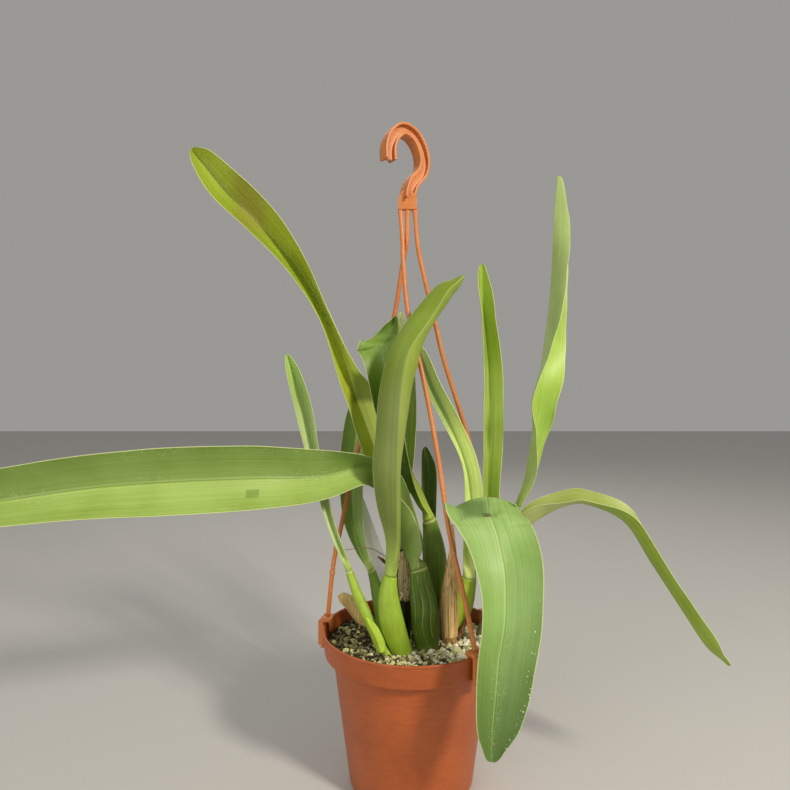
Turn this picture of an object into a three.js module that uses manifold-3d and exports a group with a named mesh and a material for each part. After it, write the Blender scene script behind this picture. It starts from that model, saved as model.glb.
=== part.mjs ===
// Potted orchid, Maxillaria praestans, in a plastic hanging pot with its hook-topped hanger.
// Millimetres, +Z up. The origin is the centre of the pot's underside, and -Y is the front.
import * as THREE from "three";
import { mergeVertices } from "three/addons/utils/BufferGeometryUtils.js";
import Module from "manifold-3d";

const wasm = await Module();
wasm.setup();

// Driving dimensions
const GAP = 0.3;
const POT_HEIGHT = 105;
const RIM_RADIUS = 62.5;
const BASE_RADIUS = 43;
const BODY_TOP_RADIUS = 55;
const BAND_HEIGHT = 15.5;
const WALL = 1.5;
const FLOOR = 2;
const EDGE = 1;
const BASE_EDGE = 1.5;
const COLLAR_TAPER = 1.9;
const COLLAR_INSET = 3.6;
const LIP = 1.6;
const DRAIN_HOLES = 8;
const DRAIN_RADIUS = 4.5;
const DRAIN_CIRCLE = 29;
const POT_SIDES = 48;
const MIX_LEVEL = 97.5;
const MIX_CLEARANCE = 0.4;
const MIX_RINGS = 12;
const GRAIN_COUNT = 120;
const BLADE_THICKNESS = 0.7;
const PETIOLE_THICKNESS = 1.3;
const LEAF_BOW = 0.07;
const FURROW = 0.055;
const HANGER_ARM_DIAMETER = 3.2;
const HOOK_TURN = THREE.MathUtils.degToRad(33);

const object = new THREE.Group();
object.name = "potted_maxillaria";

// Every mesh takes its plain material here: colour, roughness
function addPiece(name, geometry, colour, roughness) {
  const material = new THREE.MeshStandardMaterial({ color: colour, roughness, metalness: 0 });
  const mesh = new THREE.Mesh(geometry, material);
  mesh.name = name;
  object.add(mesh);
  return mesh;
}

function solidFrom(geometry) {
  const plain = geometry.clone();
  plain.deleteAttribute("normal");
  plain.deleteAttribute("uv");
  const merged = mergeVertices(plain, 1e-4);
  return new wasm.Manifold(new wasm.Mesh({
    numProp: 3,
    vertProperties: new Float32Array(merged.attributes.position.array),
    triVerts: new Uint32Array(merged.index.array),
  }));
}

function geometryFrom(solid) {
  const { vertProperties, triVerts } = solid.getMesh();
  const geometry = new THREE.BufferGeometry();
  geometry.setAttribute("position", new THREE.BufferAttribute(new Float32Array(vertProperties), 3));
  geometry.setIndex(new THREE.BufferAttribute(new Uint32Array(triVerts), 1));
  geometry.computeVertexNormals();
  return geometry;
}

// A closed skin over a row of rings, each an even number of points in the same turning sense.
// The ends are closed by a strip from side to side, which also fits a V-shaped ring. The quads
// of a ring's second half split along the other diagonal, so the two skins of a twisted thin
// blade follow each other and never cross.
function loft(rings) {
  const count = rings[0].length;
  const positions = rings.flat().flatMap((p) => [p.x, p.y, p.z]);
  const index = [];
  for (let r = 0; r + 1 < rings.length; r += 1) {
    for (let k = 0; k < count; k += 1) {
      const a = r * count + k;
      const b = r * count + (k + 1) % count;
      if (k < count / 2) index.push(a, b, b + count, a, b + count, a + count);
      else index.push(a, b, a + count, b, b + count, a + count);
    }
  }
  const last = (rings.length - 1) * count;
  for (let k = 0; k + 1 < count / 2; k += 1) {
    const [a, b, c, d] = [k, k + 1, count - 2 - k, count - 1 - k];
    index.push(a, c, b, a, d, c);
    index.push(last + a, last + b, last + c, last + a, last + c, last + d);
  }
  const geometry = new THREE.BufferGeometry();
  geometry.setAttribute("position", new THREE.Float32BufferAttribute(positions, 3));
  geometry.setIndex(index);
  return geometry;
}

function randomStream(seed) {
  let state = seed;
  return () => {
    state = (state * 1664525 + 1013904223) % 4294967296;
    return state / 4294967296;
  };
}

// Pot: injection-moulded polypropylene, tapered, with a deep collar at the rim and drain holes
function makePot() {
  const bandBottom = POT_HEIGHT - BAND_HEIGHT;
  const profile = [
    [0, 0], [BASE_RADIUS - BASE_EDGE, 0], [BASE_RADIUS, BASE_EDGE], [BODY_TOP_RADIUS, bandBottom],
    [RIM_RADIUS - COLLAR_TAPER - 0.4 * EDGE, bandBottom], [RIM_RADIUS - COLLAR_TAPER, bandBottom + EDGE],
    [RIM_RADIUS - 0.5 * EDGE, POT_HEIGHT - 1.8 * EDGE], [RIM_RADIUS, POT_HEIGHT - EDGE],
    [RIM_RADIUS - 0.3 * EDGE, POT_HEIGHT],
    [RIM_RADIUS - LIP, POT_HEIGHT], [RIM_RADIUS - LIP - 0.4 * EDGE, POT_HEIGHT - EDGE],
    [RIM_RADIUS - COLLAR_INSET, bandBottom + WALL], [BODY_TOP_RADIUS - WALL, bandBottom + WALL],
    [BASE_RADIUS - WALL, FLOOR + EDGE], [BASE_RADIUS - WALL - EDGE, FLOOR], [0, FLOOR],
  ];
  const points = profile.map(([r, z]) => new THREE.Vector2(r, z));
  const shell = new THREE.LatheGeometry(points, POT_SIDES);
  shell.rotateX(Math.PI / 2);
  let pot = solidFrom(shell);
  for (let k = 0; k < DRAIN_HOLES; k += 1) {
    const angle = (k + 0.5) * 2 * Math.PI / DRAIN_HOLES;
    const hole = new THREE.CylinderGeometry(DRAIN_RADIUS, DRAIN_RADIUS, 4 * FLOOR, 12);
    hole.rotateX(Math.PI / 2);
    hole.translate(DRAIN_CIRCLE * Math.cos(angle), DRAIN_CIRCLE * Math.sin(angle), FLOOR / 2);
    pot = pot.subtract(solidFrom(hole));
  }
  return pot;
}

// Leaves: each station holds the midrib's place, the half width, the turn of the upper face
// about the midrib and the fold of each half, both in degrees. At turn 0 the upper face
// looks along the leaf's facing direction, and at fold 0 the blade is flat.
const FRONT = [0, -1, 0];
const LEAVES = [
  { facing: FRONT, stations: [
    [1, -19, 150, 9.5, 90, 59], [-7, -14, 170, 16.5, 87, 62], [-14, -6, 189, 16, 73, 61],
    [-22, -4, 207, 16, 39, 56], [-34, -11, 218, 16, 2, 55], [-62, -21, 213, 20, 18, 35],
    [-103, -34, 214, 22.5, 13, 27], [-152, -49, 214, 23, 11, 27], [-196, -61, 212, 22, 12, 32],
    [-243, -71, 206, 20.5, 17, 36], [-274, -77, 202, 17, 14, 38], [-297, -81, 198, 7, 3, 46]] },
  { facing: FRONT, stations: [
    [-7, -6, 163, 5, 0, 65], [-16, 6, 190, 9, 0, 61], [-26, 9, 229, 13, 8, 47],
    [-39, 9, 265, 15.5, 20, 48], [-47, 2, 293, 16, -1, 66], [-60, -15, 325, 15, 0, 76],
    [-75, -27, 352, 16, 1, 67], [-97, -35, 377, 17, 10, 53], [-118, -41, 398, 16.5, 7, 50],
    [-131, -44, 414, 12, 6, 52], [-137, -45, 421, 6, 4, 55]] },
  { facing: FRONT, stations: [
    [-13.5, -27, 148, 8, 196, 57], [-10, -30, 168, 10, 200, 64], [-10, -36, 194, 16, 206, 60],
    [-10, -38, 220, 17.5, 210, 56], [-9, -36, 249, 17.5, 201, 53], [-7, -34, 275, 17.5, 194, 52],
    [-2, -33.5, 297, 17, 188, 54], [13, -26, 320, 15, 202, 57], [24, -21, 338, 11.5, 195, 55],
    [31, -18, 345, 6.5, 186, 55]] },
  { facing: FRONT, stations: [
    [15, 9, 180, 6, -63, 48], [6, 7, 202, 9, -69, 40], [-6, 5, 226, 12, -18, 58],
    [-14, 1, 251, 14, -4, 55], [-19, -3, 279, 15, -13, 43], [-20, -4.5, 298, 19, -24, 40],
    [-16, -2, 308, 14, -10, 58], [-14, 3, 317, 9, -5, 59], [-11, 6, 325, 4, 0, 57]] },
  { facing: FRONT, stations: [
    [-4, 23, 144, 4, 0, 56], [-6, 24, 183, 9, 0, 60], [-6, 25, 224, 14, 3, 55],
    [-5, 26, 257, 15, 0, 53], [-6, 27, 291, 14, 0, 54], [-8, 28, 314, 9, 0, 54],
    [-7, 29, 327, 4, 0, 56]] },
  { facing: FRONT, stations: [
    [-42, -19, 150, 3, 0, 60], [-55, -10, 182, 7, 0, 69], [-67, 0, 223, 10, 0, 65],
    [-74, -1, 258, 12, 0, 62], [-79, -9, 279, 10, 1, 60], [-84, -11, 293, 4, 0, 53]] },
  { facing: FRONT, stations: [
    [-28, 3, 144, 3.5, 0, 59], [-36, 9, 159, 7.5, 5, 57], [-42, 14, 178, 10.5, 8, 49],
    [-43, 20, 200, 11, -1, 42], [-42, 24, 228, 12, 0, 43], [-38, 25, 256, 10.5, -3, 43],
    [-34, 26, 272, 4, 0, 43]] },
  { facing: [1, 0, 0], stations: [
    [56, -12, 151, 6, 90, 60], [54.5, -11, 170, 11, 90, 48], [52, -14, 189, 14, 90, 20, 18],
    [50, -24, 200, 17, 90, -12, 23], [50, -39, 192, 29.6, 90, 12, 22],
    [53.6, -49, 179, 24, 90, 22, 23], [55.5, -59, 163, 21, 90, 30, 23],
    [55.2, -65, 147, 19, 90, 33, 23], [53.5, -70, 131, 18, 90, 35, 22.5], [49.8, -74, 115, 17, 90, 36, 22],
    [47.4, -78, 98, 16, 90, 36, 20], [45, -81, 80, 13, 90, 36, 15], [44, -82, 67, 7, 90, 36]] },
  { facing: FRONT, stations: [
    [17, 28, 165, 3.5, 0, 57], [14, 29, 189, 9, 0, 54], [14, 30, 212, 9, 0, 54],
    [12, 30, 225, 4.5, 0, 48]] },
  { facing: FRONT, stations: [
    [42, 7, 138, 6, 0, 44], [42, 7, 163, 8, 0, 54], [44, 7, 193, 11, 2, 56],
    [39, 7, 222, 12, 10, 63], [28, 8, 251, 12, -1, 62], [17, 11, 274, 12, -6, 63],
    [10, 15, 293, 9, -3, 63], [6, 17, 303, 4, 0, 57]] },
  { facing: FRONT, stations: [
    [59, 13, 155, 4, 0, 56], [58, 16, 176, 8, 0, 56], [58, 20, 205, 12.5, 3, 61],
    [60, 25, 242, 13.5, 3, 59], [60, 28, 287, 13.5, 5, 61], [57, 31, 325, 12, 7, 65],
    [55, 33, 348, 9.5, 9, 59], [55, 34, 365, 3.5, 0, 49]] },
  { facing: FRONT, stations: [
    [69, 12, 160, 4, 85, 60], [77, 11, 189, 5, 84, 41], [83, 10, 208, 9, 80, 44],
    [88, 8, 241, 12.5, 52, 38, 14], [91, 7, 265, 14, 22, 46, 18], [96, 7, 301, 19.5, 60, 36, 16],
    [101, 9, 337, 17.5, 73, 43, 15], [104, 12, 374, 15.3, 84, 51, 13], [106, 15, 404, 10.5, 90, 65, 9.3],
    [108, 16, 425, 4, 90, 66]] },
  { facing: FRONT, stations: [
    [68, -6, 163, 4.5, -90, 51], [82, -13, 181, 11, -90, 69], [104, -19, 194.5, 12, -82, 36],
    [118, -25, 196, 12, -76, 28], [139, -32, 186, 13.5, -77, 34], [154, -38, 161, 12.5, -78, 30],
    [171, -43, 133, 11.5, -82, 34], [184, -47, 112, 10, -78, 42], [194, -49, 103, 4.5, -85, 29]] },
];
const STEPS_PER_STATION = 2;
const TIP_ANGLES = [40, 78];

// The leaf's shape at t from 0, the joint, to 1: place, tangent, turn, fold and half widths
function leafCurves(leaf) {
  const list = leaf.stations;
  const vectors = (pick) => list.map((s) => new THREE.Vector3(...pick(s)));
  const curve = (points) => new THREE.CatmullRomCurve3(points, false, "catmullrom", 0.5);
  return {
    midrib: curve(vectors((s) => [s[0], s[1], s[2]])),
    form: curve(vectors((s) => [s[3], s[4], s[5]])),
    left: curve(vectors((s) => [s[6] ?? s[3], 0, 0])),
  };
}

// The way that the upper face looks where the leaf runs along the tangent
function leafUp(tangent, facing, turn) {
  const front = new THREE.Vector3(...facing);
  front.addScaledVector(tangent, -front.dot(tangent)).normalize();
  const side = new THREE.Vector3().crossVectors(tangent, front);
  const angle = THREE.MathUtils.degToRad(turn);
  return front.multiplyScalar(Math.cos(angle)).addScaledVector(side, Math.sin(angle));
}

// One section: five points across the upper face, then five back along the lower face
function leafSection(place, tangent, facing, turn, fold, right, left, thickness) {
  const up = leafUp(tangent, facing, turn);
  const across = new THREE.Vector3().crossVectors(tangent, up);
  const bend = THREE.MathUtils.degToRad(fold);
  const upper = [];
  const lower = [];
  for (const s of [-1, -0.5, 0, 0.5, 1]) {
    const reach = s < 0 ? left : right;
    const out = Math.abs(s) * reach;
    const bow = LEAF_BOW * reach * (1 - (2 * Math.abs(s) - 1) ** 2);
    const normalAcross = -Math.sign(s) * Math.sin(bend);
    const normalUp = s === 0 ? 1 : Math.cos(bend);
    const deep = s === 0 ? thickness / Math.cos(Math.min(bend, 1.1)) : thickness * (1 - 0.15 * Math.abs(s));
    const a = Math.sign(s) * out * Math.cos(bend) - normalAcross * bow;
    const b = out * Math.sin(bend) - normalUp * bow;
    const top = place.clone().addScaledVector(across, a).addScaledVector(up, b);
    const under = top.clone()
      .addScaledVector(across, -normalAcross * deep)
      .addScaledVector(up, -normalUp * deep);
    upper.push(top);
    lower.unshift(under);
  }
  return [...upper, ...lower];
}

function makeLeaf(leaf) {
  const { midrib, form, left } = leafCurves(leaf);
  const steps = (leaf.stations.length - 1) * STEPS_PER_STATION;
  const rings = [];
  for (let k = 0; k <= steps; k += 1) {
    const t = k / steps;
    const { x: width, y: turn, z: fold } = form.getPoint(t);
    const stem = Math.max(0, 1 - t * 5);
    const thickness = BLADE_THICKNESS + stem * (PETIOLE_THICKNESS - BLADE_THICKNESS);
    rings.push(leafSection(midrib.getPoint(t), midrib.getTangent(t), leaf.facing, turn, fold,
      width, left.getPoint(t).x, thickness));
  }
  const [, , , width, turn, fold] = leaf.stations.at(-1);
  const end = midrib.getPoint(1);
  const along = midrib.getTangent(1);
  for (const degrees of TIP_ANGLES) {
    const angle = THREE.MathUtils.degToRad(degrees);
    const place = end.clone().addScaledVector(along, width * Math.sin(angle));
    const half = width * Math.cos(angle);
    rings.push(leafSection(place, along, leaf.facing, turn, fold, half, half, BLADE_THICKNESS));
  }
  return loft(rings);
}

// Pseudobulbs: base, middle and the half sizes across and through; the top meets the leaf
const BULBS = [
  { base: [11, -19, 92], middle: [8.5, -19, 122], wide: 9.8, deep: 5.6, top: [6.6, 4.8], turn: 8 },
  { base: [-5, -6, 92], middle: [-6.5, -7, 128], wide: 6, deep: 4.6, top: [3.4, 3], turn: 0 },
  { base: [-2.5, -26, 91], middle: [-14, -28, 122], wide: 8.2, deep: 5.4, top: [4.8, 4.6], turn: 0 },
  { base: [19, 14, 92], middle: [18, 13, 142], wide: 9.6, deep: 6, top: [5.2, 4.2], turn: 12 },
  { base: [4, 24, 92], middle: [1, 25, 122], wide: 7, deep: 5, top: [3.6, 3.2], turn: -10 },
  { base: [-13, -29, 91], middle: [-31, -23, 123], wide: 3.9, deep: 3.9, top: [2.6, 2.6], turn: 0 },
  { base: [-18, 1, 92], middle: [-22, 2, 120], wide: 5, deep: 4.2, top: [3, 3], turn: 0 },
  { base: [52, -13, 92], middle: [54, -13, 124], wide: 5.6, deep: 4.8, top: [3.8, 3.6], turn: 20 },
  { base: [21, 36, 92], middle: [18, 32, 130], wide: 6.5, deep: 4.6, top: [3, 3], turn: -15 },
  { base: [32, 4, 92], middle: [38, 5, 117], wide: 8.6, deep: 5.4, top: [5.4, 4.6], turn: 0 },
  { base: [57, 11, 112], middle: [57.5, 12.5, 132], wide: 5.4, deep: 4.4, top: [3.4, 3], turn: 10 },
  { base: [68, 14, 113], middle: [69.5, 13.5, 136], wide: 5, deep: 4.4, top: [3.4, 3], turn: 35 },
  { base: [68, 4.5, 112.5], middle: [67, -3, 138], wide: 5, deep: 4.4, top: [3.6, 3.2], turn: -20 },
];
const BULB_SIDES = 12;
const BULB_STEPS = 7;
const BULB_COLOURS = [0x3f5a14, 0x1f2a12, 0x9ec02e, 0x5f7a1c, 0x55701d, 0xa6bf36, 0x5f7430,
  0x6f8a2a, 0x4f6a1c, 0xb9cf35, 0x7f9a30, 0x88a034, 0x7c9634];

// An upright oval body on a bent axis, with shallow furrows down its length
function makeBulb(bulb, endPoint, endTangent, grow = 0) {
  const base = new THREE.Vector3(...bulb.base);
  const middle = new THREE.Vector3(...bulb.middle);
  const end = endPoint.clone().addScaledVector(endTangent, grow - GAP);
  const control = middle.clone().multiplyScalar(2).sub(base.clone().add(end).multiplyScalar(0.5));
  const axis = new THREE.QuadraticBezierCurve3(base, control, end);
  const firstTangent = axis.getTangent(0);
  const lead = THREE.MathUtils.degToRad(bulb.turn);
  const rings = [];
  for (let k = 0; k <= BULB_STEPS; k += 1) {
    const t = k / BULB_STEPS;
    const tangent = k === BULB_STEPS ? endTangent.clone() : axis.getTangent(t);
    const across = new THREE.Vector3(Math.cos(lead), Math.sin(lead), 0);
    across.addScaledVector(tangent, -across.dot(tangent)).normalize();
    const through = new THREE.Vector3().crossVectors(tangent, across);
    const swell = Math.sin(Math.PI * (0.22 + 0.56 * t)) ** 0.8;
    const taper = t ** 4;
    const wide = (bulb.wide * swell * (1 - taper) + bulb.top[0] * taper) + grow;
    const deep = (bulb.deep * swell * (1 - taper) + bulb.top[1] * taper) + grow;
    const place = axis.getPoint(t);
    if (k === 0) place.addScaledVector(firstTangent, -grow);
    const ring = [];
    for (let n = 0; n < BULB_SIDES; n += 1) {
      const angle = n * 2 * Math.PI / BULB_SIDES;
      const furrow = 1 - (n % 2 ? FURROW : 0) * Math.sin(Math.PI * Math.min(1, t));
      ring.push(place.clone()
        .addScaledVector(across, wide * furrow * Math.cos(angle))
        .addScaledVector(through, deep * furrow * Math.sin(angle)));
    }
    rings.push(ring);
  }
  return loft(rings);
}

function numbered(name, index) {
  return `${name}_${String(index).padStart(2, "0")}`;
}

// A pseudobulb's top sits under the middle of the folded stalk, not under its keel
const leafNodes = LEAVES.map((leaf, k) => {
  const { midrib } = leafCurves(leaf);
  const [, , , width, turn, fold] = leaf.stations[0];
  const along = midrib.getTangent(0);
  const depth = width * Math.sin(THREE.MathUtils.degToRad(fold)) / 2;
  return {
    leaf,
    bulb: BULBS[k],
    name: numbered("leaf", k + 1),
    bulbName: numbered("pseudobulb", k + 1),
    start: midrib.getPoint(0).addScaledVector(leafUp(along, leaf.facing, turn), depth),
    along,
  };
});

for (const node of leafNodes) {
  addPiece(node.name, makeLeaf(node.leaf), 0x8fae3c, 0.45);
}

// Dry sheaths: the papery scales that wrap the foot of a growth, keel outwards
const SHEATHS = [
  { name: "sheath_02", colour: 0x9a6a3a, facing: FRONT, stations: [
    [-4.4, -14.6, 128, 4, 180, 30], [-4.6, -14.5, 140, 5, 180, 30], [-4.8, -14.3, 151, 4.6, 180, 30],
    [-5.5, -13.6, 159, 3, 180, 30]] },
  { name: "sheath_06", colour: 0xb9cf4a, facing: FRONT, stations: [
    [-20, -32.9, 101, 4, 180, 40], [-22.5, -32.2, 108, 4.6, 180, 40], [-26, -31, 115, 4, 180, 40],
    [-29.5, -29.4, 121, 1.6, 180, 40]] },
];
for (const sheath of SHEATHS) {
  addPiece(sheath.name, makeLeaf(sheath), sheath.colour, 0.6);
}

// Stems and spent growths: a tapering round body through a few points
function taperedTube(points, radii, sides, steps, flatten = 1, grow = 0) {
  const smooth = (places) => new THREE.CatmullRomCurve3(places, false, "catmullrom", 0.5);
  const axis = smooth(points.map((p) => new THREE.Vector3(...p)));
  const width = smooth(radii.map((r) => new THREE.Vector3(r, 0, 0)));
  const rings = [];
  for (let k = 0; k <= steps; k += 1) {
    const t = k / steps;
    const tangent = axis.getTangent(t);
    const depth = new THREE.Vector3(0, 1, 0).addScaledVector(tangent, -tangent.y).normalize();
    const across = new THREE.Vector3().crossVectors(depth, tangent);
    const radius = Math.max(0.35, width.getPoint(t).x) + grow;
    const place = axis.getPoint(t);
    if (k === 0) place.addScaledVector(tangent, -grow);
    if (k === steps) place.addScaledVector(tangent, grow);
    const ring = [];
    for (let n = 0; n < sides; n += 1) {
      const angle = n * 2 * Math.PI / sides;
      ring.push(place.clone()
        .addScaledVector(across, radius * Math.cos(angle))
        .addScaledVector(depth, radius * flatten * Math.sin(angle)));
    }
    rings.push(ring);
  }
  return loft(rings);
}

const SPENT = [
  { name: "withered_bulb", colour: 0xd9c9a0, sides: 10, steps: 8, flatten: 0.85,
    points: [[-30, 24, 93], [-38, 27, 104], [-45, 28, 113], [-53, 28, 117]], radii: [4.5, 6, 5.4, 1.6] },
  { name: "dry_bulb", colour: 0xb59a62, sides: 12, steps: 10, flatten: 0.8,
    points: [[27, -7, 91], [26, -6, 118], [28, -5, 142], [29, -5, 160], [28.5, -4.5, 178]],
    radii: [5, 5.9, 4.6, 2.2, 0.9] },
  { name: "rhizome_front", colour: 0x3a2c1c, sides: 8, steps: 10, flatten: 0.9,
    points: [[-37, 14, 94], [-32, 6, 98.5], [-22, -8, 99.5], [-16, -18, 98], [-11, -20, 93]],
    radii: [2.4, 3, 3.2, 3, 2.4] },
  { name: "rhizome_right", colour: 0x4a4028, sides: 8, steps: 10, flatten: 0.95,
    points: [[48, 3, 92], [51.5, 5, 102], [57, 8, 109.5], [66, 9, 111], [73, 9, 111.5]],
    radii: [3.2, 3.6, 3.6, 3.4, 2.2] },
];
const rhizomes = SPENT.filter((piece) => piece.name.startsWith("rhizome"));

function spentBody(piece, grow = 0) {
  return solidFrom(taperedTube(piece.points, piece.radii, piece.sides, piece.steps, piece.flatten, grow));
}

// Each pseudobulb stands clear of the rhizomes that carry it by the same small gap
const bulbSolids = leafNodes.map((node) => {
  let solid = solidFrom(makeBulb(node.bulb, node.start, node.along));
  for (const stem of rhizomes) solid = solid.subtract(spentBody(stem, GAP));
  return solid;
});
bulbSolids.forEach((solid, k) => {
  addPiece(leafNodes[k].bulbName, geometryFrom(solid), BULB_COLOURS[k], 0.45);
});
for (const piece of SPENT) {
  addPiece(piece.name, geometryFrom(spentBody(piece)), piece.colour, 0.8);
}

// Potting mix: pumice, perlite and bark, its surface raised into grains larger than life
const MIX_RADIUS = RIM_RADIUS - COLLAR_INSET - 0.5;
const BODY_INSIDE = BODY_TOP_RADIUS - WALL - MIX_CLEARANCE;
function grainHeights() {
  const random = randomStream(7);
  const grains = [];
  for (let k = 0; k < GRAIN_COUNT; k += 1) {
    const angle = random() * 2 * Math.PI;
    const radius = (MIX_RADIUS - 3) * Math.sqrt(random());
    grains.push({
      x: radius * Math.cos(angle),
      y: radius * Math.sin(angle),
      size: 3.4 + 3.2 * random(),
      lift: 0.45 + 0.4 * random(),
    });
  }
  return (x, y) => {
    const edge = Math.max(0, (Math.hypot(x, y) - 50) / 9);
    let height = 0;
    for (const grain of grains) {
      const reach = grain.size ** 2 - (x - grain.x) ** 2 - (y - grain.y) ** 2;
      if (reach > 0) height = Math.max(height, grain.lift * Math.sqrt(reach));
    }
    return MIX_LEVEL - 1.2 + height - 1.5 * edge;
  };
}

function makeMix() {
  const heightAt = grainHeights();
  const vertices = [[0, 0, heightAt(0, 0)]];
  const index = [];
  const ringStart = (ring) => 1 + 3 * ring * (ring - 1);
  const onRing = (ring, k) => (ring === 0 ? 0 : ringStart(ring) + ((k + 6 * ring) % (6 * ring)));
  for (let ring = 1; ring <= MIX_RINGS; ring += 1) {
    const radius = MIX_RADIUS * ring / MIX_RINGS;
    for (let k = 0; k < 6 * ring; k += 1) {
      const angle = k * Math.PI / (3 * ring);
      const x = radius * Math.cos(angle);
      const y = radius * Math.sin(angle);
      vertices.push([x, y, ring === MIX_RINGS ? MIX_LEVEL - 2.5 : heightAt(x, y)]);
    }
    for (let sector = 0; sector < 6; sector += 1) {
      for (let k = 0; k < ring; k += 1) {
        const outer = onRing(ring, sector * ring + k);
        const next = onRing(ring, sector * ring + k + 1);
        const inner = onRing(ring - 1, sector * (ring - 1) + k);
        index.push(outer, next, inner);
        if (k + 1 < ring) index.push(next, onRing(ring - 1, sector * (ring - 1) + k + 1), inner);
      }
    }
  }
  const sides = 6 * MIX_RINGS;
  const bandFloor = POT_HEIGHT - BAND_HEIGHT + WALL + MIX_CLEARANCE;
  const walls = [
    [MIX_RADIUS - GAP, bandFloor], [BODY_INSIDE, bandFloor - MIX_CLEARANCE / 2],
    [BASE_RADIUS - WALL - 3 * MIX_CLEARANCE, FLOOR + 2 * MIX_CLEARANCE],
  ];
  let previous = ringStart(MIX_RINGS);
  for (const [radius, z] of walls) {
    const start = vertices.length;
    for (let k = 0; k < sides; k += 1) {
      const angle = k * 2 * Math.PI / sides;
      vertices.push([radius * Math.cos(angle), radius * Math.sin(angle), z]);
      const next = (k + 1) % sides;
      index.push(previous + k, start + k, start + next, previous + k, start + next, previous + next);
    }
    previous = start;
  }
  for (let k = 1; k + 1 < sides; k += 1) index.push(previous, previous + k + 1, previous + k);
  const geometry = new THREE.BufferGeometry();
  geometry.setAttribute("position", new THREE.Float32BufferAttribute(vertices.flat(), 3));
  geometry.setIndex(index);
  return solidFrom(geometry);
}

// Plain holes for everything that stands in the mix
let mix = makeMix();
for (const node of leafNodes) {
  mix = mix.subtract(solidFrom(makeBulb(node.bulb, node.start, node.along, GAP)));
}
for (const piece of SPENT) mix = mix.subtract(spentBody(piece, GAP));

// Label: a white plastic strip with a pointed foot, pushed into the mix; it carries no words
const LABEL = { length: 106, point: 22, width: 16, thick: 0.8, lean: 21, back: 7, foot: [-5, 10, 92] };
function makeLabel(grow = 0) {
  const half = LABEL.width / 2 + grow;
  const outline = new THREE.Shape([
    new THREE.Vector2(0, -grow), new THREE.Vector2(half, LABEL.point),
    new THREE.Vector2(half, LABEL.length), new THREE.Vector2(-half, LABEL.length),
    new THREE.Vector2(-half, LABEL.point),
  ]);
  const depth = LABEL.thick + 2 * grow;
  const strip = new THREE.ExtrudeGeometry(outline, { depth, bevelEnabled: false });
  strip.translate(0, 0, -depth / 2);
  strip.rotateX(Math.PI / 2);
  strip.rotateX(-THREE.MathUtils.degToRad(LABEL.back));
  strip.rotateY(-THREE.MathUtils.degToRad(LABEL.lean));
  strip.translate(...LABEL.foot);
  return strip;
}
addPiece("label_tag", makeLabel(), 0xf2f1ee, 0.5);
mix = mix.subtract(solidFrom(makeLabel(GAP)));
addPiece("potting_mix", geometryFrom(mix), 0xa9a273, 0.95);
addPiece("pot", geometryFrom(makePot()), 0xa0522a, 0.5);

// Hanger: one polypropylene moulding, its hook an I-section beam over a flat plate
const PLATE = { x: -2.5, z: 404.2, width: 13.4, thick: 4, height: 10 };
const SHOULDER = 3;
const HOOK_ROUTE = [[-16, 434], [-16, 441.5], [-13, 448.5], [-5, 454.2], [3.5, 451.5], [10, 444],
  [12.6, 434.5], [10, 426], [3.5, 418.5], [0.8, 411], [0.6, 407]];
const BEAM = { height: 8.4, width: 9, flange: 1.6, web: 3 };
const HOOK_STEPS = 30;

function makeHook() {
  const h = BEAM.height / 2;
  const w = BEAM.width / 2;
  const inner = h - BEAM.flange;
  const web = BEAM.web / 2;
  const corners = [[h, -w], [h, w], [inner, w], [inner, web], [-inner, web], [-inner, w],
    [-h, w], [-h, -w], [-inner, -w], [-inner, -web], [inner, -web], [inner, -w]];
  const section = new THREE.Shape(corners.map(([a, b]) => new THREE.Vector2(a, b)));
  const route = new THREE.CatmullRomCurve3(HOOK_ROUTE.map(([x, z]) => new THREE.Vector3(x, 0, z)));
  const beam = new THREE.ExtrudeGeometry(section, { steps: HOOK_STEPS, extrudePath: route });
  beam.rotateZ(HOOK_TURN);
  beam.translate(PLATE.x, 0, 0);
  const half = PLATE.width / 2;
  const low = PLATE.z - PLATE.height / 2;
  const high = PLATE.z + PLATE.height / 2;
  const outline = new THREE.Shape([
    new THREE.Vector2(-half, low), new THREE.Vector2(half, low), new THREE.Vector2(half, high - SHOULDER),
    new THREE.Vector2(half - SHOULDER, high + SHOULDER), new THREE.Vector2(-half + SHOULDER, high + SHOULDER),
    new THREE.Vector2(-half, high - SHOULDER),
  ]);
  const plate = new THREE.ExtrudeGeometry(outline, { depth: PLATE.thick, bevelEnabled: false });
  plate.translate(PLATE.x, 0, -PLATE.thick / 2);
  plate.rotateX(Math.PI / 2);
  return solidFrom(beam).add(solidFrom(plate));
}
addPiece("hanger_hook", geometryFrom(makeHook()), 0xd9804c, 0.45);

// Three slim arms run from the plate to clips that grip the rim inside and out
const ARMS = [
  { name: "hanger_arm_left", angle: 169, points: [[-2.5, 0, 398.9], [-3, 1, 377], [-6, 5, 361],
    [-12, 11, 325], [-24, 14, 280], [-36.5, 12, 235],
    [-43.5, 6, 205], [-49, 3, 178], [-55.5, 7, 147], [-60, 11.7, 108]] },
  { name: "hanger_arm_front", angle: -50, points: [[-7.5, 0, 398.9], [-6, -1, 377], [-5.5, -3, 361],
    [-2, -6, 325], [8, -14, 280], [17, -23, 230], [24, -32, 180], [33, -42, 138], [39, -47.5, 108]] },
  { name: "hanger_arm_back", angle: 22, points: [[2.7, 0, 398.9], [4.5, 1, 377], [7.5, 3, 361],
    [17.5, 7, 320], [24.5, 10, 292], [41, 17, 242], [50, 20, 205], [55, 22, 165], [57.5, 23, 108]] },
];

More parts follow.
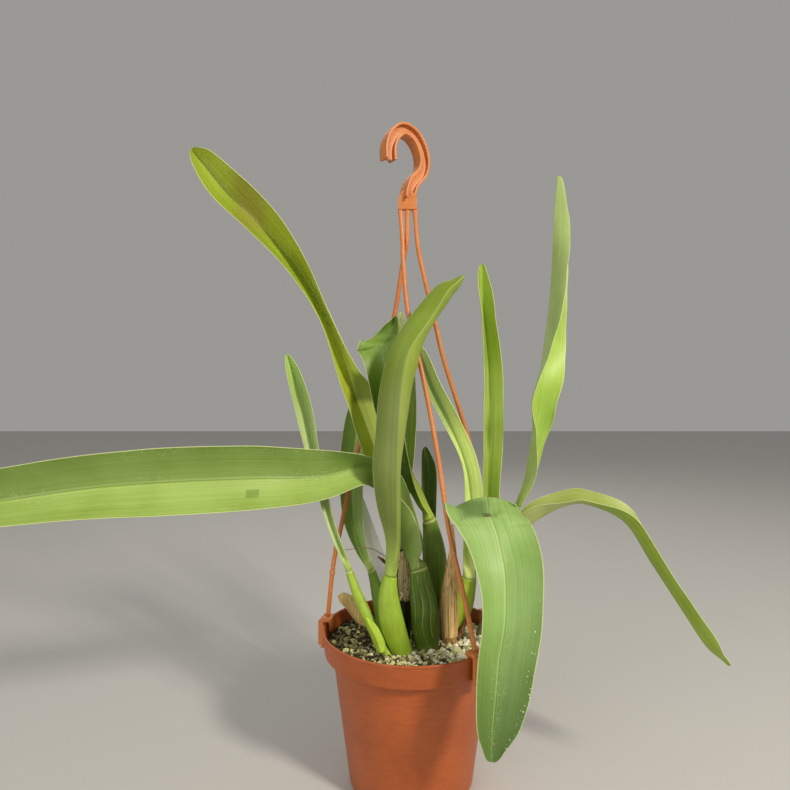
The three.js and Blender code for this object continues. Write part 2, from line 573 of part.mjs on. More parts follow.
// A clip: a flat cap over the rim, a leg on each side of it, a tooth under the collar and two ribs
const CLIP = { cap: 2.8, capWidth: 11, leg: 2.2, legWidth: 10, tongue: 2, tongueWidth: 8, tongueReach: 6.5,
  outside: 0.5, inside: 3.1, tooth: 2, toothOut: 4, overhang: 3, rib: 1.5, ribOut: 2.4, ribApart: 3.6 };
const ARM_SIDES = 8;
const ARM_STEPS = 22;

function makeArm(arm) {
  const route = new THREE.CatmullRomCurve3(arm.points.map((p) => new THREE.Vector3(...p)));
  const section = new THREE.Shape();
  const radius = HANGER_ARM_DIAMETER / 2;
  for (let n = 0; n < ARM_SIDES; n += 1) {
    const angle = n * 2 * Math.PI / ARM_SIDES;
    const corner = [radius * Math.cos(angle), radius * Math.sin(angle)];
    if (n === 0) section.moveTo(...corner);
    else section.lineTo(...corner);
  }
  section.closePath();
  let arms = solidFrom(new THREE.ExtrudeGeometry(section, { steps: ARM_STEPS, extrudePath: route }));
  const top = POT_HEIGHT + GAP;
  const bandBottom = POT_HEIGHT - BAND_HEIGHT;
  const legInside = RIM_RADIUS + CLIP.outside;
  const legOutside = legInside + CLIP.leg;
  const tongueOutside = RIM_RADIUS - CLIP.inside;
  const tongueInside = tongueOutside - CLIP.tongue;
  const legTop = top + EDGE;
  const legFoot = bandBottom - CLIP.overhang;
  const tongueFoot = POT_HEIGHT - CLIP.tongueReach;
  const toothMiddle = bandBottom - 2 * GAP - CLIP.tooth / 2;
  const ribHeight = top - bandBottom + CLIP.tooth;
  const ribMiddle = (top + bandBottom) / 2;
  const blocks = [
    [legOutside - tongueInside, CLIP.capWidth, CLIP.cap, (legOutside + tongueInside) / 2, 0,
      top + CLIP.cap / 2],
    [CLIP.leg, CLIP.legWidth, legTop - legFoot, legInside + CLIP.leg / 2, 0, (legTop + legFoot) / 2],
    [CLIP.tongue, CLIP.tongueWidth, legTop - tongueFoot, tongueOutside - CLIP.tongue / 2, 0,
      (legTop + tongueFoot) / 2],
    [CLIP.toothOut, CLIP.tongueWidth, CLIP.tooth, legInside, 0, toothMiddle],
    [CLIP.ribOut, CLIP.rib, ribHeight, legInside + CLIP.overhang, CLIP.ribApart, ribMiddle],
    [CLIP.ribOut, CLIP.rib, ribHeight, legInside + CLIP.overhang, -CLIP.ribApart, ribMiddle],
  ];
  const turn = THREE.MathUtils.degToRad(arm.angle);
  for (const [dx, dy, dz, x, y, z] of blocks) {
    const block = new THREE.BoxGeometry(dx, dy, dz).translate(x, y, z).rotateZ(turn);
    arms = arms.add(solidFrom(block));
  }
  return arms;
}
for (const arm of ARMS) addPiece(arm.name, geometryFrom(makeArm(arm)), 0xc4602c, 0.45);

export default object;
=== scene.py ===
import math

import bpy
import numpy as np
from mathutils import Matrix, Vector


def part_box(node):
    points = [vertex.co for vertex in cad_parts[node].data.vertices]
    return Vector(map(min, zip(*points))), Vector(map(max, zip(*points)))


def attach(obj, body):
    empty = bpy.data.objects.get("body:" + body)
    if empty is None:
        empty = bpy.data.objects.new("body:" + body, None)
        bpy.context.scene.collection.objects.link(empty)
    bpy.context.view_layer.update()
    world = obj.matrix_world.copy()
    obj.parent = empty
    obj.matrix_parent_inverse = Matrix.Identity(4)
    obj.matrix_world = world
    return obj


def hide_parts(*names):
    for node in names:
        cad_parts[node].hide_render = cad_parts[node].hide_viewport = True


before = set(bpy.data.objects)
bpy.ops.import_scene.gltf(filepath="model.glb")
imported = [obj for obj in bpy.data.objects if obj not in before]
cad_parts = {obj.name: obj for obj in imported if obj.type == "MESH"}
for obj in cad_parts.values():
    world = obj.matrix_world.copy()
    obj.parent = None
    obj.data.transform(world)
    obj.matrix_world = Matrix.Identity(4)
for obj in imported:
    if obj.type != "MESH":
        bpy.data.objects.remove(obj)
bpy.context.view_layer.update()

# The studio: the camera stands level in front of the pot, as the photograph was taken, with a
# pale floor under the pot. A warm lamp at the upper right does most of the lighting, and wide
# pale ones on the left and behind fill the shadows.
PHOTO_SIDE = 790
FOCAL_PIXELS = 596
SENSOR_WIDTH = 36.0
CAMERA_PLACE = (-0.0113, -0.421, 0.2685)
camera_data = bpy.data.cameras.new("photo_view")
camera_data.sensor_width = SENSOR_WIDTH
camera_data.lens = SENSOR_WIDTH * FOCAL_PIXELS / PHOTO_SIDE
camera = bpy.data.objects.new("photo_view", camera_data)
camera.location = CAMERA_PLACE
camera.rotation_euler = (math.pi / 2, 0, 0)
bpy.context.collection.objects.link(camera)
bpy.context.scene.camera = camera
bpy.context.scene.view_settings.view_transform = "Standard"

FLOOR_HALF = 4.0
FLOOR_GREY = (0.55, 0.54, 0.52, 1)
floor_data = bpy.data.meshes.new("floor")
floor_corners = [(-FLOOR_HALF, -FLOOR_HALF, 0), (FLOOR_HALF, -FLOOR_HALF, 0),
                 (FLOOR_HALF, FLOOR_HALF, 0), (-FLOOR_HALF, FLOOR_HALF, 0)]
floor_data.from_pydata(floor_corners, [], [(0, 1, 2, 3)])
floor = bpy.data.objects.new("floor", floor_data)
bpy.context.collection.objects.link(floor)
floor_paint = bpy.data.materials.new("pale_floor")
floor_paint.use_nodes = True
floor_shader = floor_paint.node_tree.nodes["Principled BSDF"]
floor_shader.inputs["Base Color"].default_value = FLOOR_GREY
floor_shader.inputs["Roughness"].default_value = 0.8
floor_data.materials.append(floor_paint)

LAMPS = {
    "key": {"at": (0.85, -0.92, 1.0), "size": 0.2, "watts": 18, "colour": (1.0, 0.93, 0.80)},
    "fill": {"at": (-0.9, -1.2, 0.7), "size": 1.2, "watts": 9, "colour": (1.0, 0.98, 0.92)},
    "back": {"at": (-0.2, 1.1, 1.1), "size": 1.0, "watts": 3.5, "colour": (1.0, 0.98, 0.95)},
}
LAMP_AIM = (0.0, 0.0, 0.2)
for lamp_name, lamp in LAMPS.items():
    lamp_data = bpy.data.lights.new(lamp_name, "AREA")
    lamp_data.size = lamp["size"]
    lamp_data.energy = lamp["watts"]
    lamp_data.color = lamp["colour"]
    lamp_object = bpy.data.objects.new(lamp_name, lamp_data)
    lamp_object.location = lamp["at"]
    aim = Vector(LAMP_AIM) - Vector(lamp["at"])
    lamp_object.rotation_euler = aim.to_track_quat("-Z", "Y").to_euler()
    bpy.context.collection.objects.link(lamp_object)
SKY_GREY = (0.90, 0.88, 0.84, 1)
SKY_STRENGTH = 0.36
studio = bpy.data.worlds.new("studio")
studio.use_nodes = True
sky = studio.node_tree.nodes["Background"]
sky.inputs["Color"].default_value = SKY_GREY
sky.inputs["Strength"].default_value = SKY_STRENGTH
bpy.context.scene.world = studio


# Pot: injection-moulded terracotta-brown polypropylene with a satin skin, a deep collar that
# carries the rim, and drain holes in its floor. It is one piece, thin walled and slightly
# translucent to strong light, with fine scuffs from handling.
def colour(text):
    """A colour written as in paint lists, such as b05a2c, in linear values for the shader."""
    parts = [int(text[k:k + 2], 16) / 255 for k in (0, 2, 4)]
    return (*[p / 12.92 if p <= 0.04045 else ((p + 0.055) / 1.055) ** 2.4 for p in parts], 1.0)


class Wire:
    """One socket of a material. Sums and products of wires add their own Math nodes."""

    def __init__(self, tree, socket=None):
        self.tree = tree
        self.socket = socket

    def node(self, kind, settings=None, values=None, output=0):
        """Adds a node to the same material and returns the wire from one of its outputs."""
        node = self.tree.nodes.new("ShaderNode" + kind)
        for key, value in (settings or {}).items():
            if key == "stops":
                while len(node.color_ramp.elements) < len(value):
                    node.color_ramp.elements.new(0.5)
                for element, (position, shade) in zip(node.color_ramp.elements, value):
                    element.position = position
                    element.color = shade
            else:
                setattr(node, key, value)
        for key, value in (values or {}).items():
            if isinstance(value, Wire):
                self.tree.links.new(value.socket, node.inputs[key])
            else:
                node.inputs[key].default_value = value
        return Wire(self.tree, node.outputs[output])

    def math(self, operation, a, b=0.0):
        """One Math node on one or two wires or numbers."""
        return self.node("Math", {"operation": operation}, {0: a, 1: b})

    def __add__(self, other):
        return self.math("ADD", self, other)

    __radd__ = __add__

    def __sub__(self, other):
        return self.math("SUBTRACT", self, other)

    def __rsub__(self, other):
        return self.math("SUBTRACT", other, self)

    def __mul__(self, other):
        return self.math("MULTIPLY", self, other)

    __rmul__ = __mul__

    def __abs__(self):
        return self.math("ABSOLUTE", self)

    def rise(self, low, high):
        """0 below low, 1 above high, and smooth between; low may be the larger."""
        return self.node("MapRange", {"interpolation_type": "SMOOTHSTEP"}, {0: self, 1: low, 2: high})

    def blend(self, first, second):
        """first where this wire is 0, second where it is 1; both are colours."""
        return self.node("Mix", {"data_type": "RGBA"}, {0: self, 6: first, 7: second}, 2)

    def noise(self, scale, detail=2.0, rough=0.5):
        """Cloudy noise from 0 to 1 on this wire's coordinates."""
        return self.node("TexNoise", {}, {"Vector": self, "Scale": scale, "Detail": detail,
                                          "Roughness": rough})

    def stretch(self, x, y, z):
        """This wire's coordinates multiplied along each axis."""
        return self.node("Mapping", {}, {"Vector": self, "Scale": (x, y, z)})


def new_finish(name, **constants):
    """A material and its shader; sockets named with _ for a space take one value all over."""
    material = bpy.data.materials.new(name)
    material.use_nodes = True
    shader = material.node_tree.nodes["Principled BSDF"]
    for key, value in constants.items():
        shader.inputs[key.replace("_", " ")].default_value = value
    return material, shader, Wire(material.node_tree)


def feed(shader, **wires):
    """Links each wire to the shader's socket of that name."""
    for key, wire in wires.items():
        wire.tree.links.new(wire.socket, shader.inputs[key.replace("_", " ")])


def relief(wire, height, depth):
    """A bump of the given depth in metres from a height that runs from 0 to 1."""
    return wire.node("Bump", {}, {"Strength": 1.0, "Distance": depth, "Height": height})


def facing_out(points, faces):
    """The closed body's faces, turned round together if they enclose a negative volume."""
    points = np.array(points, float) - np.mean(points, axis=0)
    volume = 0
    for size in {len(face) for face in faces}:
        corners = points[[face for face in faces if len(face) == size]]
        for k in range(1, size - 1):
            volume += (corners[:, 0] * np.cross(corners[:, k], corners[:, k + 1])).sum()
    return faces if volume > 0 else [tuple(face[::-1]) for face in faces]


def add_mesh(name, points, faces, material, smooth=True):
    """A plain mesh object at the origin."""
    mesh = bpy.data.meshes.new(name)
    mesh.from_pydata([tuple(p) for p in points], [], [tuple(f) for f in faces])
    mesh.materials.append(material)
    mesh.polygons.foreach_set("use_smooth", [smooth] * len(mesh.polygons))
    piece = bpy.data.objects.new(name, mesh)
    bpy.context.collection.objects.link(piece)
    return piece


def joined(name, bodies, material, smooth=True):
    """One mesh of several closed bodies, each given as points and faces."""
    points, faces = [], []
    for body_points, body_faces in bodies:
        offset = len(points)
        points += [tuple(p) for p in body_points]
        faces += [tuple(offset + v for v in face) for face in body_faces]
    return add_mesh(name, points, faces, material, smooth)


def finished(piece):
    """Turns the piece, with its modifiers applied, into a plain mesh."""
    depsgraph = bpy.context.evaluated_depsgraph_get()
    mesh = bpy.data.meshes.new_from_object(piece.evaluated_get(depsgraph), depsgraph=depsgraph)
    piece.modifiers.clear()
    piece.data = mesh


def place_piece(piece, slot, *nodes):
    """Gives the piece its body and hides the nodes of the frame that it stands for; the slot is not used."""
    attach(piece, "root")
    if nodes:
        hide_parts(*nodes)


def plastic_finish(name, shade, deep, worn):
    """Moulded polypropylene: even colour, faint flow lines, specks of dust and fine scuffs."""
    material, shader, start = new_finish(name, Specular_IOR_Level=0.45, Subsurface_Weight=0.08,
                                         Subsurface_Scale=0.002)
    place = start.node("TexCoord", output="Object")
    cloud = place.noise(28, 3)
    flow = place.stretch(14, 14, 90).noise(9, 2)
    scuff = place.stretch(90, 90, 700).noise(6, 4, 0.65).rise(0.68, 0.78)
    spot = place.noise(520, 2).rise(0.66, 0.74)
    body = (cloud * 0.6 + flow * 0.4).rise(0.3, 0.75).blend(colour(deep), colour(shade))
    body = (scuff * 0.35 + spot * 0.12).blend(body, colour(worn))
    grain = place.noise(1400, 2)
    feed(shader, Base_Color=body, Roughness=0.36 + cloud * 0.16 + scuff * 0.15,
         Normal=relief(start, grain * 0.6 + scuff * 0.4, 0.000012))
    return material


def turned_body(profile, sides):
    """Points and faces of a profile of (radius, height) turned about Z; it starts and ends on Z."""
    angles = np.arange(sides) * 2 * math.pi / sides
    points = [(0, 0, profile[0][1])]
    for radius, height in profile[1:-1]:
        points += [(radius * math.cos(a), radius * math.sin(a), height) for a in angles]
    points.append((0, 0, profile[-1][1]))
    rings = len(profile) - 2
    faces = []
    for k in range(sides):
        n = (k + 1) % sides
        faces.append((0, 1 + n, 1 + k))
        for r in range(rings - 1):
            a, b = 1 + r * sides, 1 + (r + 1) * sides
            faces.append((a + k, a + n, b + n, b + k))
        a = 1 + (rings - 1) * sides
        faces.append((a + k, a + n, len(points) - 1))
    return points, facing_out(points, faces)


def rounded(corners, radius, steps=4):
    """The profile with each inner corner turned into a short arc."""
    result = [corners[0]]
    for before, here, after in zip(corners, corners[1:], corners[2:]):
        here = np.array(here, float)
        to_before = np.array(before, float) - here
        to_after = np.array(after, float) - here
        reach = min(radius, 0.45 * np.linalg.norm(to_before), 0.45 * np.linalg.norm(to_after))
        start = here + to_before / np.linalg.norm(to_before) * reach
        end = here + to_after / np.linalg.norm(to_after) * reach
        for k in range(steps + 1):
            t = k / steps
            result.append(tuple((1 - t) ** 2 * start + 2 * t * (1 - t) * here + t ** 2 * end))
    result.append(corners[-1])
    return result


MM = 0.001
pot_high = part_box("pot")[1]
RIM = pot_high[0]
POT_TOP = pot_high[2]
BAND = 15.5 * MM
WALL = 1.5 * MM
BODY_TOP = RIM - 7.5 * MM
BASE = 43 * MM
POT_ROUNDING = 0.9 * MM
POT_SIDES = 144
band_foot = POT_TOP - BAND
POT_PROFILE = [
    (0, 0.0006), (BASE - 0.006, 0.0006), (BASE - 0.004, 0), (BASE - 0.0014, 0), (BASE, 0.0016),
    (BODY_TOP, band_foot), (RIM - 0.0023, band_foot), (RIM - 0.0019, band_foot + 0.001),
    (RIM - 0.0005, POT_TOP - 0.0018), (RIM, POT_TOP - 0.001), (RIM - 0.0003, POT_TOP),
    (RIM - 0.0016, POT_TOP), (RIM - 0.002, POT_TOP - 0.001), (RIM - 0.0036, band_foot + WALL),
    (BODY_TOP - WALL, band_foot + WALL), (BASE - WALL, 0.003), (BASE - WALL - 0.001, 0.002), (0, 0.002),
]
pot_paint = plastic_finish("terracotta_plastic", "b85e2c", "a04e1e", "d89a70")
pot = add_mesh("pot_body", *turned_body(rounded(POT_PROFILE, POT_ROUNDING), POT_SIDES), pot_paint)
DRAIN_HOLES = 8
DRAIN_CIRCLE = 29 * MM
DRAIN_RADIUS = 4.5 * MM
DRAIN_SIDES = 24
DRILL_FOOT, DRILL_TOP = -2 * MM, 6 * MM
pin_profile = [(0, DRILL_FOOT), (DRAIN_RADIUS, DRILL_FOOT), (DRAIN_RADIUS, DRILL_TOP), (0, DRILL_TOP)]
pin_points, pin_faces = turned_body(pin_profile, DRAIN_SIDES)
pins = []
for k in range(DRAIN_HOLES):
    angle = (k + 0.5) * 2 * math.pi / DRAIN_HOLES
    centre = [DRAIN_CIRCLE * math.cos(angle), DRAIN_CIRCLE * math.sin(angle), 0]
    pins.append((np.array(pin_points) + centre, pin_faces))
drill = joined("drill", pins, pot_paint)
cut = pot.modifiers.new("drain", "BOOLEAN")
cut.operation = "DIFFERENCE"
cut.solver = "EXACT"
cut.object = drill
finished(pot)
bpy.data.objects.remove(drill)
place_piece(pot, "pot_plastic", "pot")


# Hanger: one supple polypropylene moulding in a lighter, glossier brown. The hook is an I-shaped
# beam that turns over a small plate, three slim arms hang from the plate, and each arm ends in
# a clip that is pushed over the rim.
def spline(points, t):
    """Places and directions at each t from 0 to 1 on one smooth curve through the points."""
    points = np.array(points, float)
    count = len(points)
    at = np.clip(np.array(t, float), 0, 1) * (count - 1)
    k = np.minimum(at.astype(int), count - 2)
    w = (at - k)[:, None]
    padded = np.vstack([2 * points[0] - points[1], points, 2 * points[-1] - points[-2]])
    before, here, after, beyond = padded[k], padded[k + 1], padded[k + 2], padded[k + 3]
    leave, arrive = 0.5 * (after - before), 0.5 * (beyond - here)
    square = 3 * (after - here) - 2 * leave - arrive
    cube = 2 * (here - after) + leave + arrive
    place = here + leave * w + square * w ** 2 + cube * w ** 3
    along = leave + 2 * square * w + 3 * cube * w ** 2
    return place, along / np.maximum(np.linalg.norm(along, axis=1, keepdims=True), 1e-9)


def unit(vectors):
    """The vectors scaled to a length of 1."""
    return vectors / np.maximum(np.linalg.norm(vectors, axis=-1, keepdims=True), 1e-12)


def skin(rings):
    """Points and faces of a closed body over rings of equally many points, ends in strips."""
    rings = np.array(rings)
    count = rings.shape[1]
    faces = []
    for r in range(len(rings) - 1):
        for k in range(count):
            a, b = r * count + k, r * count + (k + 1) % count
            faces.append((a, b, b + count, a + count))
    last = (len(rings) - 1) * count
    for k in range(count // 2 - 1):
        a, b, c, d = k, k + 1, count - 2 - k, count - 1 - k
        faces.append((d, c, b, a))
        faces.append((last + a, last + b, last + c, last + d))
    points = rings.reshape(-1, 3)
    return points, facing_out(points, faces)


def tube_rings(points, radii, sides, steps, depth=1.0, shape=None):
    """Rings round a smooth axis; radii are spread along it and shape scales each ring point."""
    backward = np.array([0.0, 1.0, 0.0])
    t = np.linspace(0, 1, steps + 1)
    place, along = spline(points, t)
    radius = spline([[r, 0, 0] for r in radii], t)[0][:, 0]
    through = unit(backward - (along @ backward)[:, None] * along)
    across = np.cross(through, along)
    angles = np.arange(sides) * 2 * math.pi / sides
    swell = np.ones((steps + 1, sides)) if shape is None else shape(t[:, None], angles[None, :])
    swell = swell * radius[:, None]
    return (place[:, None] + across[:, None] * (swell * np.cos(angles))[..., None]
            + through[:, None] * (swell * np.sin(angles) * depth)[..., None])


def soften(piece, width):
    """Rounds the sharp edges of a moulded piece and shades it smoothly between them."""
    bevel = piece.modifiers.new("round", "BEVEL")
    bevel.width = width
    bevel.segments = 2
    bevel.limit_method = "ANGLE"
    bevel.angle_limit = math.radians(35)
    finished(piece)
    piece.data.set_sharp_from_angle(angle=math.radians(32))


HOOK_TURN = math.radians(33)
PLATE = {"x": -2.5, "z": 404.2, "width": 13.4, "thick": 4, "height": 10, "corner": 3}
HOOK_ROUTE = [[-15.8, 431], [-16, 439.5], [-13, 447.8], [-5.5, 454.2], [3.5, 452.3], [10, 444.8],
              [12.6, 434.5], [10, 426], [3.5, 418.5], [0.8, 411], [0.6, 407]]
HOOK_STEPS = 70
BEAM = {"height": 8.4, "width": 9, "flange": 1.6, "web": 3, "draft": 0.3, "rounding": 0.5}
hanger_paint = plastic_finish("hanger_plastic", "d6884c", "c07038", "fbd8ac")

half_height, half_width = BEAM["height"] / 2, BEAM["width"] / 2
inner, web = half_height - BEAM["flange"], BEAM["web"] / 2
root = inner + BEAM["draft"]
section = [(half_height, -half_width), (half_height, half_width), (inner, half_width), (root, web),
           (-root, web), (-inner, half_width), (-half_height, half_width), (-half_height, -half_width),
           (-inner, -half_width), (-root, -web), (root, -web), (inner, -half_width)]
route, course = spline([[x, 0, z] for x, z in HOOK_ROUTE], np.linspace(0, 1, HOOK_STEPS + 1))
outward = np.cross(course, [0, 1, 0])
beam_rings = []
for place, out in zip(route, outward):
    beam_rings.append([place + out * a + np.array([0, b, 0]) for a, b in section])
beam_rings = np.array(beam_rings)
cos_turn, sin_turn = math.cos(HOOK_TURN), math.sin(HOOK_TURN)
turn_matrix = np.array([[cos_turn, sin_turn, 0], [-sin_turn, cos_turn, 0], [0, 0, 1]])
beam_rings = beam_rings @ turn_matrix + [PLATE["x"], 0, 0]


def strip_faces(count, rings):
    """Faces of an extruded twelve-corner beam: its side walls and its two I-shaped ends."""
    faces = []
    for r in range(rings - 1):
        for k in range(count):
            a, b = r * count + k, r * count + (k + 1) % count
            faces.append((a, a + count, b + count, b))
    for start, flip in ((0, False), ((rings - 1) * count, True)):
        for face in ((0, 1, 2, 11), (11, 2, 3, 10), (10, 3, 4, 9), (9, 4, 5, 8), (8, 5, 6, 7)):
            corners = [start + v for v in face]
            faces.append(tuple(corners if flip else corners[::-1]))
    return faces


beam_points = beam_rings.reshape(-1, 3)
beam_faces = facing_out(beam_points, strip_faces(len(section), len(beam_rings)))
beam = add_mesh("hanger_hook_body", beam_points * MM, beam_faces, hanger_paint)
half, corner = PLATE["width"] / 2, PLATE["corner"]
low, high = PLATE["z"] - PLATE["height"] / 2, PLATE["z"] + PLATE["height"] / 2
plate_outline = [(-half, low), (half, low), (half, high - corner), (half - corner, high + corner),
                 (-half + corner, high + corner), (-half, high - corner)]
plate_rings = []
for y in (-PLATE["thick"] / 2, PLATE["thick"] / 2):
    plate_rings.append([(PLATE["x"] + x, y, z) for x, z in plate_outline])
plate = joined("hanger_plate", [skin(np.array(plate_rings) * MM)], hanger_paint)
weld = beam.modifiers.new("plate", "BOOLEAN")
weld.operation = "UNION"
weld.solver = "EXACT"
weld.object = plate
finished(beam)
bpy.data.objects.remove(plate)
soften(beam, BEAM["rounding"] * MM)
place_piece(beam, "hanger_plastic", "hanger_hook")

ARM_RADIUS = 1.6
ARM_SIDES = 14
ARM_STEPS = 120
ARM_TOP_SWELL = 1.25
ARM_RADII = np.array([ARM_TOP_SWELL * ARM_RADIUS] + [ARM_RADIUS] * 24) * MM
KNOB_RADII = np.array([1.2, 2.1, 1.2]) * MM
ARMS = {
    "left": {"angle": 169, "points": [[-2.5, 0, 398.9], [-3, 1, 377], [-6, 5, 361], [-12, 11, 325],
             [-24, 14, 280], [-36.5, 12, 235], [-43.5, 6, 205], [-49, 3, 178], [-55.5, 7, 147],
             [-60, 11.7, 108]], "knobs": [158, 139.6]},
    "front": {"angle": -50, "points": [[-7.5, 0, 398.9], [-6, -1, 377], [-5.5, -3, 361], [-2, -6, 325],
              [8, -14, 280], [17, -23, 230], [24, -32, 180], [33, -42, 138], [39, -47.5, 108]]},
    "back": {"angle": 22, "points": [[2.7, 0, 398.9], [4.5, 1, 377], [7.5, 3, 361], [17.5, 7, 320],
             [24.5, 10, 292], [41, 17, 242], [50, 20, 205], [55, 22, 165], [57.5, 23, 108]]},
}
CLIP_GAP = 0.3
CLIP_ROUNDING = 0.45


def box_body(width, depth, height, x, y, z, turn):
    """A block centred at x, y, z in the clip's own frame, which is turned about the pot's axis."""
    corners = []
    for a, b, c in ((-1, -1, -1), (1, -1, -1), (1, 1, -1), (-1, 1, -1),
                    (-1, -1, 1), (1, -1, 1), (1, 1, 1), (-1, 1, 1)):
        u, v = x + a * width / 2, y + b * depth / 2
        corners.append((u * math.cos(turn) - v * math.sin(turn), u * math.sin(turn) + v * math.cos(turn),
                        z + c * height / 2))
    faces = [(0, 3, 2, 1), (4, 5, 6, 7), (0, 1, 5, 4), (1, 2, 6, 5), (2, 3, 7, 6), (3, 0, 4, 7)]
    corners = np.array(corners) * MM
    return corners, facing_out(corners, faces)


for arm_name, arm in ARMS.items():
    top = POT_TOP / MM + CLIP_GAP
    leg_out = RIM / MM + CLIP_GAP + 0.2
    leg_in = RIM / MM - 3.1
    foot = band_foot / MM
    turn = math.radians(arm["angle"])
    # the width, depth and height of each block, then its middle, all in millimetres
    blocks = {
        "saddle": (leg_out - leg_in + 4.2, 11, 2.8, (leg_out + leg_in + 0.2) / 2, 0, top + 1.4),
        "outer_leg": (2.2, 10, top + 1 - foot + 3, leg_out + 1.1, 0, (top + 1 + foot - 3) / 2),
        "inner_leg": (2, 8, top + 1 - POT_TOP / MM + 6.5, leg_in - 1, 0,
                      (top + 1 + POT_TOP / MM - 6.5) / 2),
        "catch": (4, 8, 2, leg_out, 0, foot - CLIP_GAP - 1.3),
        "rib": (2.4, 1.5, top - foot + 2, leg_out + 3, 3.6, (top + foot) / 2),
        "other_rib": (2.4, 1.5, top - foot + 2, leg_out + 3, -3.6, (top + foot) / 2),
    }
    clip_bodies = [box_body(*block, turn) for block in blocks.values()]
    clip = joined(f"hanger_clip_{arm_name}", clip_bodies, hanger_paint)
    soften(clip, CLIP_ROUNDING * MM)
    place_piece(clip, "hanger_plastic")
    rings = tube_rings(np.array(arm["points"]) * MM, ARM_RADII, ARM_SIDES, ARM_STEPS)
    bodies = [skin(rings)]
    middles = rings.mean(axis=1)
    for height in arm.get("knobs", []):
        near = int(np.argmin(abs(middles[:, 2] - height * MM)))
        knob = tube_rings(middles[near - 1:near + 2], KNOB_RADII, ARM_SIDES, 8)
        bodies.append(skin(knob))
    wire_arm = joined(f"hanger_wire_{arm_name}", bodies, hanger_paint)
    place_piece(wire_arm, "hanger_plastic", f"hanger_arm_{arm_name}")


# Growths: every leaf stands on a pseudobulb of its own. Each is given by its foot, its middle,
# its half sizes across and through, those of its top, and its turn about its own axis.
BULBS = {
    1: {"base": [11, -19, 92], "middle": [8.5, -19, 122], "wide": 9.8, "deep": 5.6, "top": [6.6, 4.8],
        "turn": 8, "skin": "587410", "shade": "3e5808", "furrow": 0.15, "pale": "94a850", "lobes": 9,
        "drift": 1.9},
    # Bulb 2 stands behind the others in deep shade, and its near-black colours are painted shade.
    2: {"base": [-5, -6, 92], "middle": [-6.5, -7, 128], "wide": 6, "deep": 4.6, "top": [3.4, 3],
        "turn": 0, "skin": "1f2a12", "shade": "141c0c", "furrow": 0.08, "pale": "3a4a20"},
    3: {"base": [-2.5, -26, 91], "middle": [-14, -28, 122], "wide": 8.2, "deep": 5.4, "top": [4.8, 4.6],
        "turn": 0, "skin": "98b630", "shade": "7f9c26", "furrow": 0.02, "pale": "b9d24a"},
    4: {"base": [19, 14, 92], "middle": [18, 13, 142], "wide": 9.6, "deep": 6, "top": [5.2, 4.2],
        "turn": 12, "skin": "74922c", "shade": "5c7a1c", "furrow": 0.05, "pale": "8fa848"},
    5: {"base": [4, 24, 92], "middle": [1, 25, 122], "wide": 7, "deep": 5, "top": [3.6, 3.2],
        "turn": -10, "skin": "55701d", "shade": "3f5416", "furrow": 0.08, "pale": "7f963c"},
    6: {"base": [-13, -29, 91], "middle": [-31, -23, 123], "wide": 3.9, "deep": 3.9, "top": [2.6, 2.6],
        "turn": 0, "skin": "a3bf3a", "shade": "8aa62e", "furrow": 0.02, "pale": "bfd45a"},
    7: {"base": [-18, 1, 92], "middle": [-22, 2, 120], "wide": 5, "deep": 4.2, "top": [3, 3],
        "turn": 0, "skin": "6f9030", "shade": "587820", "furrow": 0.06, "pale": "8fa850"},
    8: {"base": [52, -13, 92], "middle": [54, -13, 124], "wide": 5.6, "deep": 4.8, "top": [3.8, 3.6],
        "turn": 20, "skin": "6f8a2a", "shade": "58721f", "furrow": 0.06, "pale": "93aa4c"},
    9: {"base": [21, 36, 92], "middle": [18, 32, 130], "wide": 6.5, "deep": 4.6, "top": [3, 3],
        "turn": -15, "skin": "4f6a1c", "shade": "3b5214", "furrow": 0.07, "pale": "76903a"},
    10: {"base": [24, 3, 92], "middle": [34, 4.6, 117], "wide": 10.2, "deep": 5.4, "top": [5.4, 4.6],
         "turn": 0, "skin": "b4cc3c", "shade": "9ab62e", "furrow": 0.02, "pale": "cfe068"},
    11: {"base": [57, 11, 112], "middle": [57.5, 12.5, 132], "wide": 5.4, "deep": 4.4, "top": [3.4, 3],
         "turn": 10, "skin": "7f9a30", "shade": "678222", "furrow": 0.05, "pale": "a2b850"},
    12: {"base": [68, 14, 113], "middle": [69.5, 13.5, 136], "wide": 5, "deep": 4.4, "top": [3.4, 3],
         "turn": 35, "skin": "88a034", "shade": "6f8826", "furrow": 0.05, "pale": "a9bd58"},
    13: {"base": [68, 4.5, 112.5], "middle": [67, -3, 138], "wide": 5, "deep": 4.4, "top": [3.6, 3.2],
         "turn": -20, "skin": "7c9634", "shade": "647e26", "furrow": 0.05, "pale": "9fb554"},
}


# Leaves: folded strap leaves, leathery and thin, keeled below and grooved above, with fine
# veins from base to tip and a pale horny margin. Each stands on its own pseudobulb, held by a
# short stalk, and the heavy ones bend over under their own weight.
FRONT = (0, -1, 0)
RIGHT = (1, 0, 0)
